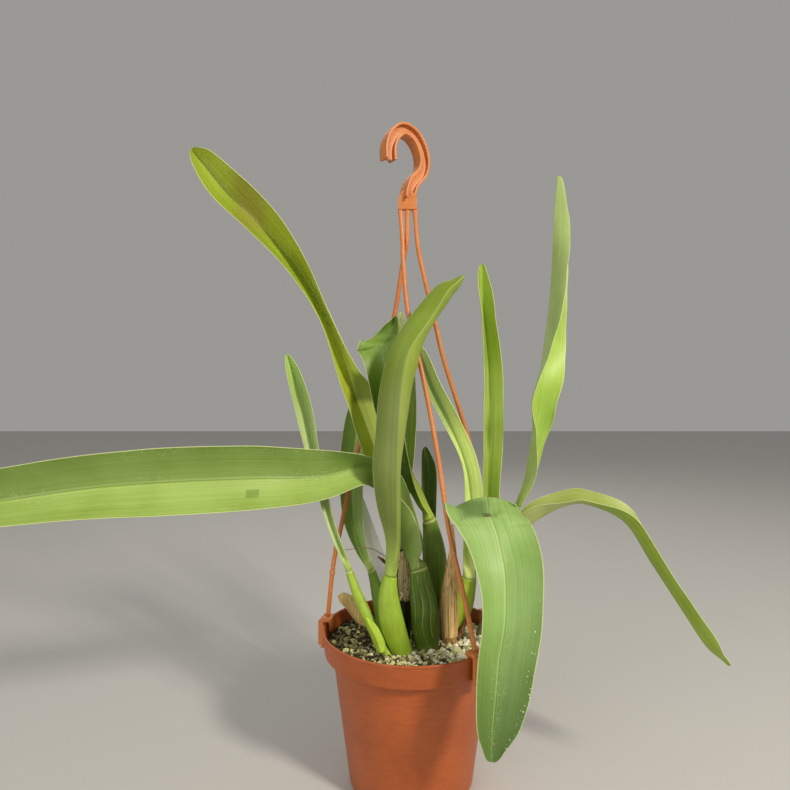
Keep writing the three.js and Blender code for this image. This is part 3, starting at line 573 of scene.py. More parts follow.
# A station on the midrib is x, y, z, the half width, the turn about the midrib and the fold.
# Where they are needed, the other half's width follows, then how far the margins arch below the
# midrib, and how far the first half leads the other along the leaf. A "far_side" holds the
# stations that differ where the other half of the blade takes a course of its own.
# A leaf's pair of half colours, and the pair towards its tip, is painted light and shade across the fold.
LEAVES = {
    1: {"stations": [
        [1, -19, 150, 9.5, 90, 59], [-7, -14, 170, 16.5, 87, 62], [-14, -6, 189, 16, 73, 61],
        [-22, -4, 207, 16, 39, 56], [-34, -11, 218, 16, 2, 55], [-62, -21, 213, 20, 18, 35],
        [-103, -34, 214, 22.5, 13, 27], [-152, -49, 214, 23, 11, 27], [-196, -61, 212, 22, 12, 32],
        [-243, -71, 206, 20.5, 17, 36], [-274, -77, 202, 17, 14, 38], [-297, -81, 198, 7, 3, 46]],
        "stalk": "7d9640", "blade": "8aa648", "tip": "9cb45c", "under": "7d9640",
        "lit_shaded_halves": ("9cb656", "6c8838"), "marks_and_shadows": [
            {"at": (-102.7, -37, 205.3), "half": (3.9, 12, 2.3), "colour": "6c8a34", "strength": 0.7}]},
    2: {"stations": [
        [-7, -6, 163, 5, 0, 65], [-16, 6, 190, 9, 0, 61], [-26, 9, 229, 13, 8, 47],
        [-39, 9, 265, 15.5, 20, 48], [-47, 2, 293, 16, -1, 66], [-60, -15, 325, 15, 0, 76],
        [-75, -27, 352, 16, 1, 67], [-97, -35, 377, 17, 10, 53], [-118, -41, 398, 16.5, 7, 50],
        [-131, -44, 414, 12, 6, 52], [-137, -45, 421, 6, 4, 55]],
        "stalk": "a6c038", "blade": "a4ba30", "tip": "a0ac30", "under": "9aaa3a", "keel": "c2cc58",
        "lit_shaded_halves": ("b8c43a", "e6f478"), "tip_lit_shaded_halves": ("8ea620", "a2ae2c"), "groove_shade": 0.5, "tip_share": 0.6,
        "marks_and_shadows": [
            # A painted shadow that the fourth leaf casts on the right half of the lower blade.
            {"at": (-31, 0, 274), "half": (10.5, 30, 10), "colour": "3c520c", "strength": 0.72, "soft": 0.3},
            {"at": (-104, -36, 390), "half": (9, 12, 20), "colour": "8a7238", "strength": 0.4, "soft": 0.6}]},
    3: {"stations": [
        [-13.5, -27, 148, 8, 196, 57], [-10, -30, 168, 10, 200, 64], [-10, -36, 194, 16, 206, 60],
        [-10, -38, 220, 17.5, 210, 56], [-9, -36, 249, 17.5, 201, 53], [-7, -34, 275, 17.5, 194, 52],
        [-2, -33.5, 297, 17, 188, 54], [13, -26, 320, 15, 202, 57], [24, -21, 338, 11.5, 195, 55],
        [31, -18, 345, 6.5, 186, 55]],
        "stalk": "9db54a", "blade": "8a9c40", "tip": "7c9434", "under": "86963c",
        "lit_shaded_halves": ("9aac54", "6a7a30"), "tip_lit_shaded_halves": ("9ab040", "7a9424"), "keel": "80903e"},
    4: {"stations": [
        [15, 9, 180, 6, -63, 48], [6, 7, 202, 9, -69, 40], [-6, 5, 226, 12, -18, 58],
        [-14, 1, 251, 14, -4, 55], [-17.6, -2, 277, 14, -12, 46, 14],
        [-19.4, -3, 290, 12, -14, 34, 13.5, 0, 1], [-20.8, -3.8, 300, 12, -14, 16, 14.6, 0, 2.4],
        [-21.2, -3.6, 304.4, 12, -12, 4, 16.8, 0, 4.4], [-20.8, -1, 305.6, 11, -34, -4, 12.6, 0, 2.6],
        [-19.2, 1.8, 307.4, 9.5, -34, 2, 9.6, 0, 2], [-16.4, 3.8, 311.2, 8, -16, 14, 6.6],
        [-13.6, 4.8, 317, 7, -3, 44, 5.6], [-11.6, 5.6, 321.4, 4, 0, 57]],
        "stalk": "9fba34", "blade": "64860c", "tip": "7a9a38", "under": "8c9c3c", "groove_shade": 0.3, "marks_and_shadows": [
            {"at": (-14, 4, 318), "half": (9, 9, 6.5), "colour": "4c6c1c", "strength": 0.5, "soft": 0.2}]},
    5: {"stations": [
        [-4, 23, 144, 4, 0, 56], [-6, 24, 183, 9, 0, 60], [-6, 25, 224, 14, 3, 55],
        [-5, 26, 257, 15, 0, 53], [-6, 27, 291, 14, 0, 54], [-8, 28, 314, 9, 0, 54],
        [-7, 29, 327, 4, 0, 56]],
        "stalk": "8aa83a", "blade": "8ca64c", "tip": "d4e0a8", "under": "9ab060"},
    6: {"stations": [
        [-42, -19, 150, 3, 0, 60], [-55, -10, 182, 7, 0, 69], [-67, 0, 223, 10, 0, 65],
        [-74, -1, 258, 12, 0, 62], [-79, -9, 279, 10, 1, 60], [-84, -11, 293, 4, 0, 53]],
        "stalk": "a4bc50", "blade": "c2d496", "tip": "a2c060", "under": "94ac60", "groove_shade": 0.1},
    7: {"stations": [
        [-28, 3, 144, 3.5, 0, 59], [-36, 9, 159, 7.5, 5, 57], [-42, 14, 178, 10.5, 8, 49],
        [-43, 20, 200, 11, -1, 42], [-42, 24, 228, 12, 0, 43], [-38, 25, 256, 10.5, -3, 43],
        [-34, 26, 272, 4, 0, 43]],
        "stalk": "aac25c", "blade": "a0c070", "tip": "a8c878", "under": "b0c87c",
        "lit_shaded_halves": ("8cae50", "b4d080")},
    8: {"facing": RIGHT, "stations": [
        [56, -12, 151, 6, 90, 60], [54.5, -11, 170, 11, 90, 48], [52, -14, 189, 14, 90, 2, 14.5],
        [50, -24, 200.5, 20, 90, 0, 18.6, 6], [50, -31, 197, 22, 90, -5, 20.4, 4],
        [50, -36, 190.6, 27, 84.5, 1, 21.6], [50, -39, 191.8, 31, 76.5, 2.5, 23.4],
        [51.4, -43, 187.6, 27, 76, 4, 23.6], [53.6, -49, 179, 24, 82, 10, 23],
        [55.5, -59, 163, 21, 89, 24, 23], [55.2, -65, 147, 19, 90, 33, 23],
        [53.5, -70, 131, 18, 90, 35, 22.5], [49.8, -74, 115, 17, 90, 36, 22],
        [47.4, -78, 98, 16, 90, 36, 20], [45, -81, 80, 13, 90, 36, 15], [44, -82, 67, 7, 90, 36]],
        "far_side": {
            3: [50, -24, 200.5, 20, 90, 0, 18.6, 6.4], 4: [50, -31, 199, 20, 90, 0, 21.2, 8],
            5: [50, -37, 195, 20, 90, 0, 23, 8], 6: [50.5, -41.5, 190, 20, 90, 0, 24.5, 6],
            7: [51.6, -45.5, 184, 20, 90, 2, 24, 4], 8: [53.6, -50, 176, 21, 88, 10, 24, 1]},
        "stalk": "8aa64a", "blade": "8cae5c", "tip": "587630", "under": "8ba65c", "keel": "d6e69a",
        "marks_and_shadows": [
            {"at": (47.5, -40.2, 191.3), "half": (2.6, 1.5, 0.45), "colour": "4a3018", "strength": 0.85,
             "soft": 0.3},
            # A painted shadow in the hollow behind the bent-over lip.
            {"at": (40, -31, 195), "half": (10, 5.5, 4.5), "colour": "35501c", "strength": 0.6,
             "soft": 0.5}]},
    9: {"stations": [
        [17, 28, 165, 3.5, 0, 57], [14, 29, 189, 9, 0, 54], [14, 30, 212, 9, 0, 54],
        [12, 30, 225, 4.5, 0, 48]],
        "stalk": "5a7430", "blade": "5f7a38", "tip": "647c3c", "under": "5a7430"},
    10: {"stations": [
        [42, 7, 138, 6, 0, 44], [42, 7, 163, 8, 0, 54], [44, 7, 193, 11, 2, 56],
        [39, 7, 222, 12, 10, 63], [28, 8, 251, 12, -1, 62], [17, 11, 274, 12, -6, 63],
        [10, 15, 293, 9, -3, 63], [6, 17, 303, 4, 0, 57]],
        "stalk": "dcec88", "blade": "d6ea8c", "tip": "92a868", "under": "93a568",
        "lit_shaded_halves": ("cce088", "f2fcb0"), "tip_lit_shaded_halves": ("8fa668", "dcee96"), "groove_shade": 0.0},
    11: {"stations": [
        [59, 13, 155, 4, 0, 56], [58, 16, 176, 8, 0, 56], [58, 20, 205, 12.5, 3, 61],
        [60, 25, 242, 13.5, 3, 59], [60, 28, 287, 13.5, 5, 61], [57, 31, 325, 12, 7, 65],
        [55, 33, 348, 9.5, 9, 59], [55, 34, 365, 3.5, 0, 49]],
        "stalk": "9bb54a", "blade": "8ea645", "tip": "86a436", "under": "8aa045",
        "lit_shaded_halves": ("a8c058", "c2d868"), "tip_lit_shaded_halves": ("9cb840", "a4be30"),
        "groove_shade": 0.35},
    12: {"stations": [
        [69, 12, 160, 4, 85, 60], [77, 11, 189, 5, 84, 41], [83, 10, 208, 9, 80, 44],
        [88, 8, 241, 12.5, 52, 38, 14], [91, 7, 265, 14, 22, 46, 18], [96, 7, 301, 19.5, 60, 36, 16],
        [101, 9, 337, 17.5, 73, 43, 15], [104, 12, 374, 15.3, 84, 51, 13], [106, 15, 404, 10.5, 90, 65, 9.3],
        [108, 16, 425, 4, 90, 66]],
        "stalk": "a2c242", "blade": "a4c44c", "tip": "a2be58", "under": "a2b86a"},
    13: {"stations": [
        [68, -6, 163, 4.5, -90, 51], [82, -13, 181, 11, -90, 69], [104, -19, 194.5, 12, -82, 36],
        [118, -25, 196, 12, -76, 28], [139, -32, 186, 13.5, -77, 34], [154, -38, 161, 12.5, -78, 30],
        [171, -43, 133, 11.5, -82, 34], [184, -47, 112, 10, -78, 42], [194, -49, 103, 4.5, -85, 29]],
        "stalk": "a3b062", "blade": "9aa850", "tip": "a9ba58", "under": "bcc878", "under_end": "90ac2c"},
}
# Thicknesses, the arch and the lengths below are in millimetres, and TIP_END is in degrees.
RINGS_PER_STATION = 12
TIP_RINGS = 12
TIP_END = 88
BLADE_THICK = 0.62
STALK_THICK = 1.3
STALK_SHARE = 0.2
EDGE_THICK = 0.34
KEEL_THICK = 0.3
KEEL_HALF_WIDTH = 0.7
BLADE_BOW = 0.07
FULL_ARCH = 5
FOLD_ROUNDING = 0.03
FAR_SIDE_BLEND = 0.4
HALF_SAMPLES = [0, 0.02, 0.05, 0.09, 0.15, 0.23, 0.32, 0.42, 0.52, 0.62, 0.72, 0.81, 0.89, 0.95, 0.985, 1]
MARGIN_WAVE = 0.35
MARGIN_WAVE_FROM = 40
TIP_STEEPEST = 0.9
STALK_CLOSING = 13
JOINT_SHARE = 0.86


def on_oval(along, across, up, s, bulb):
    """Ring points, from the middle, of a pseudobulb's oval end, in the leaf's turning sense."""
    lead = math.radians(bulb["turn"])
    heading = np.array([math.cos(lead), math.sin(lead), 0])
    wide_way = unit(heading - (along @ heading)[:, None] * along)
    deep_way = np.cross(along, wide_way)
    angle = (1 - 0.98 * s) * math.pi / 2
    angle = np.concatenate([angle, -angle[::-1]])
    way = across[:, None] * np.cos(angle)[:, None] + up[:, None] * np.sin(angle)[:, None]
    wide, deep = bulb["top"]
    wide_part = (way * wide_way[:, None]).sum(-1) / wide
    deep_part = (way * deep_way[:, None]).sum(-1) / deep
    return way / np.hypot(wide_part, deep_part)[..., None]


def smooth(share):
    """0 below 0, 1 above 1, and an S-curve between."""
    share = np.clip(share, 0, 1)
    return share * share * (3 - 2 * share)


def leaf_course(leaf):
    """The stations spread along the leaf, with the rings that round its tip off."""
    stations = np.array([(*s, *(s[3], 0, 0)[len(s) - 6:]) for s in leaf["stations"]], float)
    t = np.linspace(0, 1, (len(stations) - 1) * RINGS_PER_STATION + 1)
    place, along = spline(stations[:, :3], t)
    width, turn, fold = spline(stations[:, 3:6], t)[0].T
    left, arch, skew = spline(stations[:, 6:9], t)[0].T
    end_width = stations[-1, 3]
    narrowing = min(TIP_STEEPEST, (width[-2] - width[-1]) / np.linalg.norm(place[-1] - place[-2]))
    reach = np.sin(np.radians(np.linspace(0, TIP_END, TIP_RINGS + 1)[1:]))
    tip_width = end_width * np.sqrt(1 - 2 * narrowing * reach - (1 - 2 * narrowing) * reach ** 2)
    tip_length = end_width * leaf.get("tip_share", 1)
    place = np.vstack([place, place[-1] + along[-1] * tip_length * reach[:, None]])
    along = np.vstack([along, np.repeat(along[-1:], TIP_RINGS, 0)])
    width, left = np.concatenate([width, tip_width]), np.concatenate([left, tip_width])
    turn = np.radians(np.pad(turn, (0, TIP_RINGS), "edge"))
    fold = np.radians(np.pad(fold, (0, TIP_RINGS), "edge"))
    return place, along, width, left, turn, fold, np.pad(arch, (0, TIP_RINGS)), np.pad(skew, (0, TIP_RINGS))


def margin_wave(length, slow, quick, phases):
    """Height of one margin's waves: a slow one and a quick one over it, lengths in mm."""
    return (np.sin(length / slow + phases[0]) + 0.6 * np.sin(length / quick + phases[1]))[:, None]


def leaf_rings(leaf, seed, bulb=None):
    """Rings of upper then lower points in metres, each ring's share of the length, each point's
    place across from -1 to 1, and the length. On a pseudobulb the stalk closes to its oval top."""
    place, along, width, left, turn, fold, arch, skew = leaf_course(leaf)
    facing = np.array(leaf.get("facing", FRONT), float)
    front = unit(facing - (along @ facing)[:, None] * along)
    side = np.cross(along, front)
    up = front * np.cos(turn)[:, None] + side * np.sin(turn)[:, None]
    across = np.cross(along, up)
    s = np.array([-v for v in HALF_SAMPLES[:0:-1]] + HALF_SAMPLES)
    reach = np.where(s < 0, left[:, None], width[:, None])
    out = np.sqrt(s ** 2 + FOLD_ROUNDING ** 2) - FOLD_ROUNDING
    bow = BLADE_BOW * reach * (1 - (2 * np.abs(s) - 1) ** 2)
    bow = bow * np.clip(1 - arch / FULL_ARCH, 0, 1)[:, None]
    random = np.random.default_rng(seed)
    phase = random.random(4) * 2 * math.pi
    length = np.concatenate([[0], np.cumsum(np.linalg.norm(np.diff(place, axis=0), axis=1))])
    wave = np.where(s < 0, margin_wave(length, 9, 4.1, phase[:2]), margin_wave(length, 8, 4.7, phase[2:]))
    body = np.minimum(1, length / MARGIN_WAVE_FROM)[:, None]
    wave = wave * MARGIN_WAVE * body * np.abs(s) ** 4 * np.minimum(1, reach / 10)
    cos_fold, sin_fold = np.cos(fold)[:, None], np.sin(fold)[:, None]
    a = reach * s * cos_fold + np.sign(s) * sin_fold * bow
    b = reach * out * sin_fold - cos_fold * bow + wave - arch[:, None] * s ** 2
    slope_a, slope_b = np.gradient(a, axis=1), np.gradient(b, axis=1)
    size = np.maximum(np.hypot(slope_a, slope_b), 1e-9)
    normal_a, normal_b = -slope_b / size, slope_a / size
    stalk = np.clip(1 - length / length[-1] / STALK_SHARE, 0, 1)[:, None]
    thick = (BLADE_THICK + stalk * (STALK_THICK - BLADE_THICK)) * np.ones_like(s)
    thick = thick + (EDGE_THICK - thick) * np.abs(s) ** 3
    thick = thick + KEEL_THICK * np.exp(-(s * reach / KEEL_HALF_WIDTH) ** 2)
    thick = thick * np.minimum(1, 0.35 + reach / 4)
    upper = place[:, None] + across[:, None] * a[..., None] + up[:, None] * b[..., None]
    upper = upper + along[:, None] * (skew[:, None] * s)[..., None]
    lower = upper - across[:, None] * (normal_a * thick)[..., None]
    lower = lower - up[:, None] * (normal_b * thick)[..., None]
    rings = np.concatenate([upper, lower[:, ::-1]], axis=1)
    if bulb:
        fade = smooth(length / STALK_CLOSING)[:, None, None]
        middle = place + up * (width * np.sin(fold) / 2)[:, None]
        closed = middle[:, None] + on_oval(along, across, up, s, bulb) * JOINT_SHARE
        rings = closed * (1 - fade) + rings * fade
    rings = rings * MM
    s_round = np.concatenate([s, s[::-1]])
    if leaf.get("far_side"):
        stations = [leaf["far_side"].get(k, station) for k, station in enumerate(leaf["stations"])]
        other = leaf_rings({**leaf, "stations": stations, "far_side": None}, seed, bulb)[0]
        rings = rings + (other - rings) * smooth(-s_round / FAR_SIDE_BLEND)[:, None]
    return rings, length / length[-1], s_round, length[-1] * MM


def paint_map(piece, u, v, side):
    """Stores places along and across as a UV map, and by point a third value, such as 1 on a
    blade's upper face or a bulb's height of rib."""
    mesh = piece.data
    corner_points = np.zeros(len(mesh.loops), int)
    mesh.loops.foreach_get("vertex_index", corner_points)
    uv = mesh.uv_layers.new(name="blade_map")
    corner_map = np.stack([u[corner_points], v[corner_points]], axis=1)
    uv.data.foreach_set("uv", corner_map.astype(np.float32).ravel())
    face_side = mesh.attributes.new("upper_face", "FLOAT", "POINT")
    face_side.data.foreach_set("value", side.astype(np.float32))


def blade_piece(name, leaf, material, seed, bulb=None):
    """A leaf or a scale as a closed body with its blade map."""
    rings, share, s_round, _ = leaf_rings(leaf, seed, bulb)
    piece = add_mesh(name, *skin(rings), material)
    u = np.repeat(share, len(s_round))
    v = np.tile(0.5 + 0.5 * s_round, len(rings))
    side = np.tile(np.repeat([1.0, 0.0], len(s_round) // 2), len(rings))
    paint_map(piece, u, v, side)
    return piece


def leaf_finish(name, leaf, length, width):
    """Living leaf: veins run along the map's first axis, the margin and midrib by the second."""
    material, shader, start = new_finish(name, Specular_IOR_Level=0.5)
    blade_map = start.node("UVMap", {"uv_map": "blade_map"})
    place = start.node("TexCoord", output="Object")
    along = blade_map.node("SeparateXYZ", {}, {0: blade_map})
    across = Wire(along.tree, along.socket.node.outputs[1])
    upper = start.node("Attribute", {"attribute_name": "upper_face"}, output="Fac")
    edge = abs(across * 2 - 1)
    metres = blade_map.stretch(length, width, 1)
    veins = metres.stretch(5, 1900, 1).noise(1, 2, 0.6)
    ribs = metres.stretch(3, 520, 1).noise(1, 2, 0.5)
    cloud = place.noise(30, 3)
    cells = place.noise(1300, 2)
    top = along.rise(0.0, 0.16).blend(colour(leaf["stalk"]), colour(leaf["blade"]))
    top = along.rise(0.55, 1.0).blend(top, colour(leaf["tip"]))
    below = along.rise(0.0, 0.2).blend(colour(leaf["stalk"]), colour(leaf["under"]))
    below = along.rise(0.2, 0.38).blend(below, colour(leaf.get("under_end", leaf["under"])))
    body = upper.blend(below, top)
    # Painted light and shade: each half of the fold gets its own colour, one half painted lighter as if lit
    # and the other darker as if in shade.
    if "lit_shaded_halves" in leaf:
        second_half = across.rise(0.492, 0.508)
        half_light_colour = second_half.blend(*[colour(c) for c in leaf["lit_shaded_halves"]])
        if "tip_lit_shaded_halves" in leaf:
            tip_light_colour = second_half.blend(*[colour(c) for c in leaf["tip_lit_shaded_halves"]])
            half_light_colour = along.rise(0.5, 0.72).blend(half_light_colour, tip_light_colour)
        body = (along.rise(0.06, 0.2) * 0.75).blend(body, half_light_colour)
    dark = body.node("HueSaturation", {}, {"Color": body, "Value": 0.72, "Saturation": 1.1})
    light = body.node("HueSaturation", {}, {"Color": body, "Value": 1.17, "Saturation": 0.93})
    tone = veins.rise(0.36, 0.64) * 0.4 + ribs.rise(0.32, 0.68) * 0.25 + cloud.rise(0.3, 0.7) * 0.35
    body = tone.blend(dark, light)
    groove_shade = edge.rise(0.034, 0.008)
    midrib_highlight = (across * 2 - 1).rise(0.012, 0.03) * (across * 2 - 1).rise(0.085, 0.045)
    keel = edge.rise(0.026, 0.008)
    # Painted shade: the crease along the midrib on the upper face is darkened where shade falls into it.
    body = (groove_shade * upper * (0.75 * leaf["groove_shade"])).blend(body, dark)
    # Painted highlight: a pale strip along one side of the midrib on the upper face, in the keel colour; on
    # the lower face the keel's own pale line.
    body = (midrib_highlight * upper * 0.25 + keel * (1 - upper) * 0.5).blend(body, colour(leaf["keel"]))
    bloom = place.noise(700, 3, 0.7).rise(0.52, 0.68) * place.noise(26, 2).rise(0.42, 0.62)
    bloom = bloom * (edge.rise(0.6, 0.94) + edge.rise(0.42, 0.08)) * upper
    body = (bloom * 0.2).blend(body, colour("dfe8b8"))
    # Spots and tints on the blade, and painted shadows that nearby leaves cast on it, each in a soft-edged
    # box.
    for spot in leaf.get("marks_and_shadows", []):
        middle, half = [[v * MM for v in spot[key]] for key in ("at", "half")]
        gap = place.node("VectorMath", {"operation": "SUBTRACT"}, {0: place, 1: middle})
        gap = gap.node("VectorMath", {"operation": "DIVIDE"}, {0: gap, 1: half})
        gap = gap.node("VectorMath", {"operation": "ABSOLUTE"}, {0: gap})
        parts = gap.node("SeparateXYZ", {}, {0: gap})
        far = Wire(parts.tree, parts.socket.node.outputs[2])
        reach = parts.math("MAXIMUM", parts, far) + (cells - 0.5) * 0.5
        soft = spot.get("soft", 0.08)
        share = reach.rise(1 + soft, 1 - soft) * spot["strength"]
        body = share.blend(body, colour(spot["colour"]))
    margin = edge.rise(0.972, 0.992)
    body = (margin * 0.6).blend(body, colour(leaf["margin"]))
    feed(shader, Base_Color=body, Roughness=0.42 + veins * 0.14 + bloom * 0.15,
         Normal=relief(start, veins * 0.6 + ribs * 0.4, 0.00007))
    return material


LEAF_USUAL = {"keel": "c9d68a", "margin": "dfe6ae", "groove_shade": 1.0}
for number, leaf in LEAVES.items():
    widest = 2 * max(s[3] for s in leaf["stations"]) * MM
    leaf = {**LEAF_USUAL, **leaf}
    leaf_length = leaf_rings(leaf, number)[-1]
    leaf_paint = leaf_finish(f"leaf_green_{number:02d}", leaf, leaf_length, widest)
    blade = blade_piece(f"leaf_blade_{number:02d}", leaf, leaf_paint, number, BULBS[number])
    place_piece(blade, "leaf", f"leaf_{number:02d}")


# Pseudobulbs: the swollen, flattened stems that store the plant's water, ribbed and furrowed
# as they age, smooth and bright when young. Each grows from the rhizome and carries one leaf
# at a pale ring-like joint.
BULB_RINGS = 44
BULB_SIDES = 56
JOINT_GAP = 0.3
SWELL_START, SWELL_SPAN = 0.22, 0.56
FINE_FURROWS = 23
SHOULDER_START = 0.955
SHOULDER_CUT = 0.12


def joint_of(leaf):
    """Middle and direction of the folded stalk where it leaves its pseudobulb."""
    first = leaf["stations"][0]
    place, along = spline([s[:3] for s in leaf["stations"]], [0.0])
    place, along = place[0], along[0]
    width, turn, fold = first[3], math.radians(first[4]), math.radians(first[5])
    facing = np.array(leaf.get("facing", FRONT), float)
    front = unit(facing - (along @ facing) * along)
    up = front * math.cos(turn) + np.cross(along, front) * math.sin(turn)
    return place + up * width * math.sin(fold) / 2, along


def bulb_rings(bulb, joint, joint_along, seed):
    """The flattened body on a bent axis, its furrows deepest at mid height."""
    base, middle = np.array(bulb["base"], float), np.array(bulb["middle"], float)
    end = joint - joint_along * JOINT_GAP
    control = 2 * middle - (base + end) / 2
    t = np.linspace(0, 1, BULB_RINGS + 1)[:, None]
    place = (1 - t) ** 2 * base + 2 * t * (1 - t) * control + t ** 2 * end
    along = unit(2 * (1 - t) * (control - base) + 2 * t * (end - control))
    along[-1] = joint_along
    lead = math.radians(bulb["turn"])
    heading = np.array([math.cos(lead), math.sin(lead), 0])
    across = unit(heading - (along @ heading)[:, None] * along)
    through = np.cross(along, across)
    swell = np.sin(math.pi * (SWELL_START + SWELL_SPAN * t)) ** 0.8
    taper = t ** 4
    wide = bulb["wide"] * swell * (1 - taper) + bulb["top"][0] * taper
    deep = bulb["deep"] * swell * (1 - taper) + bulb["top"][1] * taper
    angles = np.arange(BULB_SIDES) * 2 * math.pi / BULB_SIDES
    random = np.random.default_rng(seed)
    phase = random.random(3) * 2 * math.pi
    drift = 0.22 * np.sin(3 * t + phase[0]) + 0.1 * np.sin(10 * t + phase[1])
    drift = drift * bulb.get("drift", 1)
    ridges = 0.5 + 0.5 * np.cos(bulb.get("lobes", 8) * (angles + drift) + phase[2])
    fine = 0.5 + 0.5 * np.cos(FINE_FURROWS * (angles + 0.6 * drift))
    hollow = np.sin(math.pi * np.clip(t * 0.94 + 0.03, 0, 1)) * bulb["furrow"]
    shoulder = np.clip((t - SHOULDER_START) / (1 - SHOULDER_START), 0, 1) ** 2 * SHOULDER_CUT
    form = 1 - hollow * (ridges ** 2 + 0.25 * fine) - shoulder
    ring_offset = (across[:, None] * (wide * form * np.cos(angles))[..., None]
                   + through[:, None] * (deep * form * np.sin(angles))[..., None])
    rings = (place[:, None] + ring_offset) * MM
    return rings, t[:, 0], angles, ridges


def bulb_finish(name, bulb):
    """Waxy living stem: painted shade darkens its furrows, with pale streaks on its ribs and a pale ring on
    top.
    """
    material, shader, start = new_finish(name, Specular_IOR_Level=0.5, Subsurface_Weight=0.15,
                                         Subsurface_Scale=0.003)
    blade_map = start.node("UVMap", {"uv_map": "blade_map"})
    split = blade_map.node("SeparateXYZ", {}, {0: blade_map})
    ribs = start.node("Attribute", {"attribute_name": "upper_face"}, output="Fac")
    place = start.node("TexCoord", output="Object")
    streak = place.stretch(1, 1, 0.12).noise(520, 3, 0.6)
    cloud = place.noise(90, 3)
    # Painted shade: part of the tone follows the furrows, darker than the ribs.
    tone = cloud.rise(0.3, 0.7) * 0.45 + streak.rise(0.35, 0.65) * 0.35 + (1 - ribs) * 0.2
    body = tone.blend(colour(bulb["shade"]), colour(bulb["skin"]))
    pale = ribs.rise(0.86, 0.98) * streak.rise(0.25, 0.55) * min(0.85, 7 * bulb["furrow"])
    body = pale.blend(body, colour(bulb["pale"]))
    ring = split.rise(0.975, 0.99)
    body = (ring * 0.5).blend(body, colour("c9cc78"))
    foot = split.rise(0.2, 0.02)
    body = (foot * 0.45).blend(body, colour(bulb["pale"]))
    blemish = place.noise(260, 3, 0.65).rise(0.7, 0.76)
    body = (blemish * 0.5).blend(body, colour("6b5a2c"))
    feed(shader, Base_Color=body, Roughness=0.36 + streak * 0.14,
         Normal=relief(start, streak * 0.8 + cloud * 0.2, 0.00025))
    return material


FIRST_BULB_SEED = 40
for number, bulb in BULBS.items():
    joint, joint_along = joint_of(LEAVES[number])
    rings, t, angles, ribs = bulb_rings(bulb, joint, joint_along, FIRST_BULB_SEED + number)
    bulb_paint = bulb_finish(f"bulb_green_{number:02d}", bulb)
    body = add_mesh(f"bulb_{number:02d}", *skin(rings), bulb_paint)
    paint_map(body, np.repeat(t, BULB_SIDES), np.tile(angles, len(t)), ribs.ravel())
    place_piece(body, "pseudobulb", f"pseudobulb_{number:02d}")


# Dead growths and rhizomes: the straw-coloured bulb has dried to a bundle of fibres and the
# pale one has withered beside it. The woody rhizomes creep over the mix and join the growths.
def straw_finish(name, light, mid, dark, depth=0.0004, spots=0.0):
    """Dry fibre: long pale strands, brown between them, and dark rot spots on a torn scale."""
    material, shader, start = new_finish(name, Specular_IOR_Level=0.25)
    place = start.node("TexCoord", output="Object")
    strand = place.stretch(1, 1, 0.02).noise(1100, 4, 0.7)
    broad = place.stretch(1, 1, 0.03).noise(420, 2, 0.5)
    cloud = place.noise(120, 3)
    body = (strand.rise(0.36, 0.56) * 0.65 + broad.rise(0.34, 0.6) * 0.35).blend(colour(dark), colour(light))
    body = (cloud.rise(0.45, 0.75) * 0.35).blend(body, colour(mid))
    rot = place.stretch(1, 1, 0.6).noise(620, 2, 0.6).rise(0.58, 0.66)
    body = (rot * spots).blend(body, colour("2e1c10"))
    feed(shader, Base_Color=body, Roughness=0.62 + strand * 0.25, Normal=relief(start, strand, depth))
    return material


STRAW = {
    "withered_bulb": {"points": [[-30, 24, 93], [-38, 27, 104], [-45, 28, 112], [-51, 28, 116],
                                 [-54.2, 28, 117.4]],
                      "radii": [4.5, 5.8, 5.2, 3.9, 0.9], "depth": 0.9, "ribs": 7, "cut": 0.06,
                      "paint": ("f4dc98", "dcb868", "b4843c"), "slot": "dry_bulb"},
    "dry_bulb": {"points": [[27, -7, 91], [26, -6, 118], [28, -5, 142], [29, -5, 160], [28.5, -4.5, 178]],
                 "radii": [5.4, 6.7, 5.2, 2.5, 1], "depth": 0.8, "ribs": 19, "cut": 0.12,
                 "paint": ("f0cf90", "cc9a58", "7a4e24"), "slot": "dry_bulb"},
    "rhizome_front": {"points": [[-37, 14, 94], [-32, 6, 98.5], [-22, -8, 99.5], [-16, -18, 98],
                                 [-11, -20, 93]],
                      "radii": [2.4, 3, 3.2, 3, 2.4], "depth": 0.9, "ribs": 5, "cut": 0.14,
                      "paint": ("6a523a", "3a2c1c", "1c1410"), "slot": "rhizome"},
    "rhizome_right": {"points": [[48, 3, 92], [51.5, 5, 102], [57, 8, 109.5], [66, 9, 111], [73, 9, 111.5]],
                      "radii": [3.2, 3.6, 3.6, 3.4, 2.2], "depth": 0.95, "ribs": 5, "cut": 0.12,
                      "paint": ("7d6a44", "4a4028", "2a2216"), "slot": "rhizome"},
}


def ribbed(ribs, cut):
    """Scales a ring point so that the body has lengthwise ribs that wander a little."""
    def shape(t, angles):
        wander = 0.3 * np.sin(4 * t + ribs)
        coarse = np.cos(ribs * (angles + wander))
        fine = np.cos((2 * ribs + 3) * (angles - 0.5 * wander) + 2)
        return 1 + cut * (0.35 * coarse + 0.25 * fine - 0.4)
    return shape


def fibre_rod(name, rod, sides, steps, paint):
    """A ribbed body of dry fibre along its points."""
    rings = tube_rings(np.array(rod["points"]) * MM, [r * MM for r in rod["radii"]], sides, steps,
                       rod.get("depth", 1.0), shape=ribbed(rod["ribs"], rod["cut"]))
    return add_mesh(name, *skin(rings), paint)


for node_name, straw in STRAW.items():
    straw_paint = straw_finish(f"{node_name}_fibre", *straw["paint"])
    place_piece(fibre_rod(f"{node_name}_body", straw, 72, 60, straw_paint), straw["slot"], node_name)


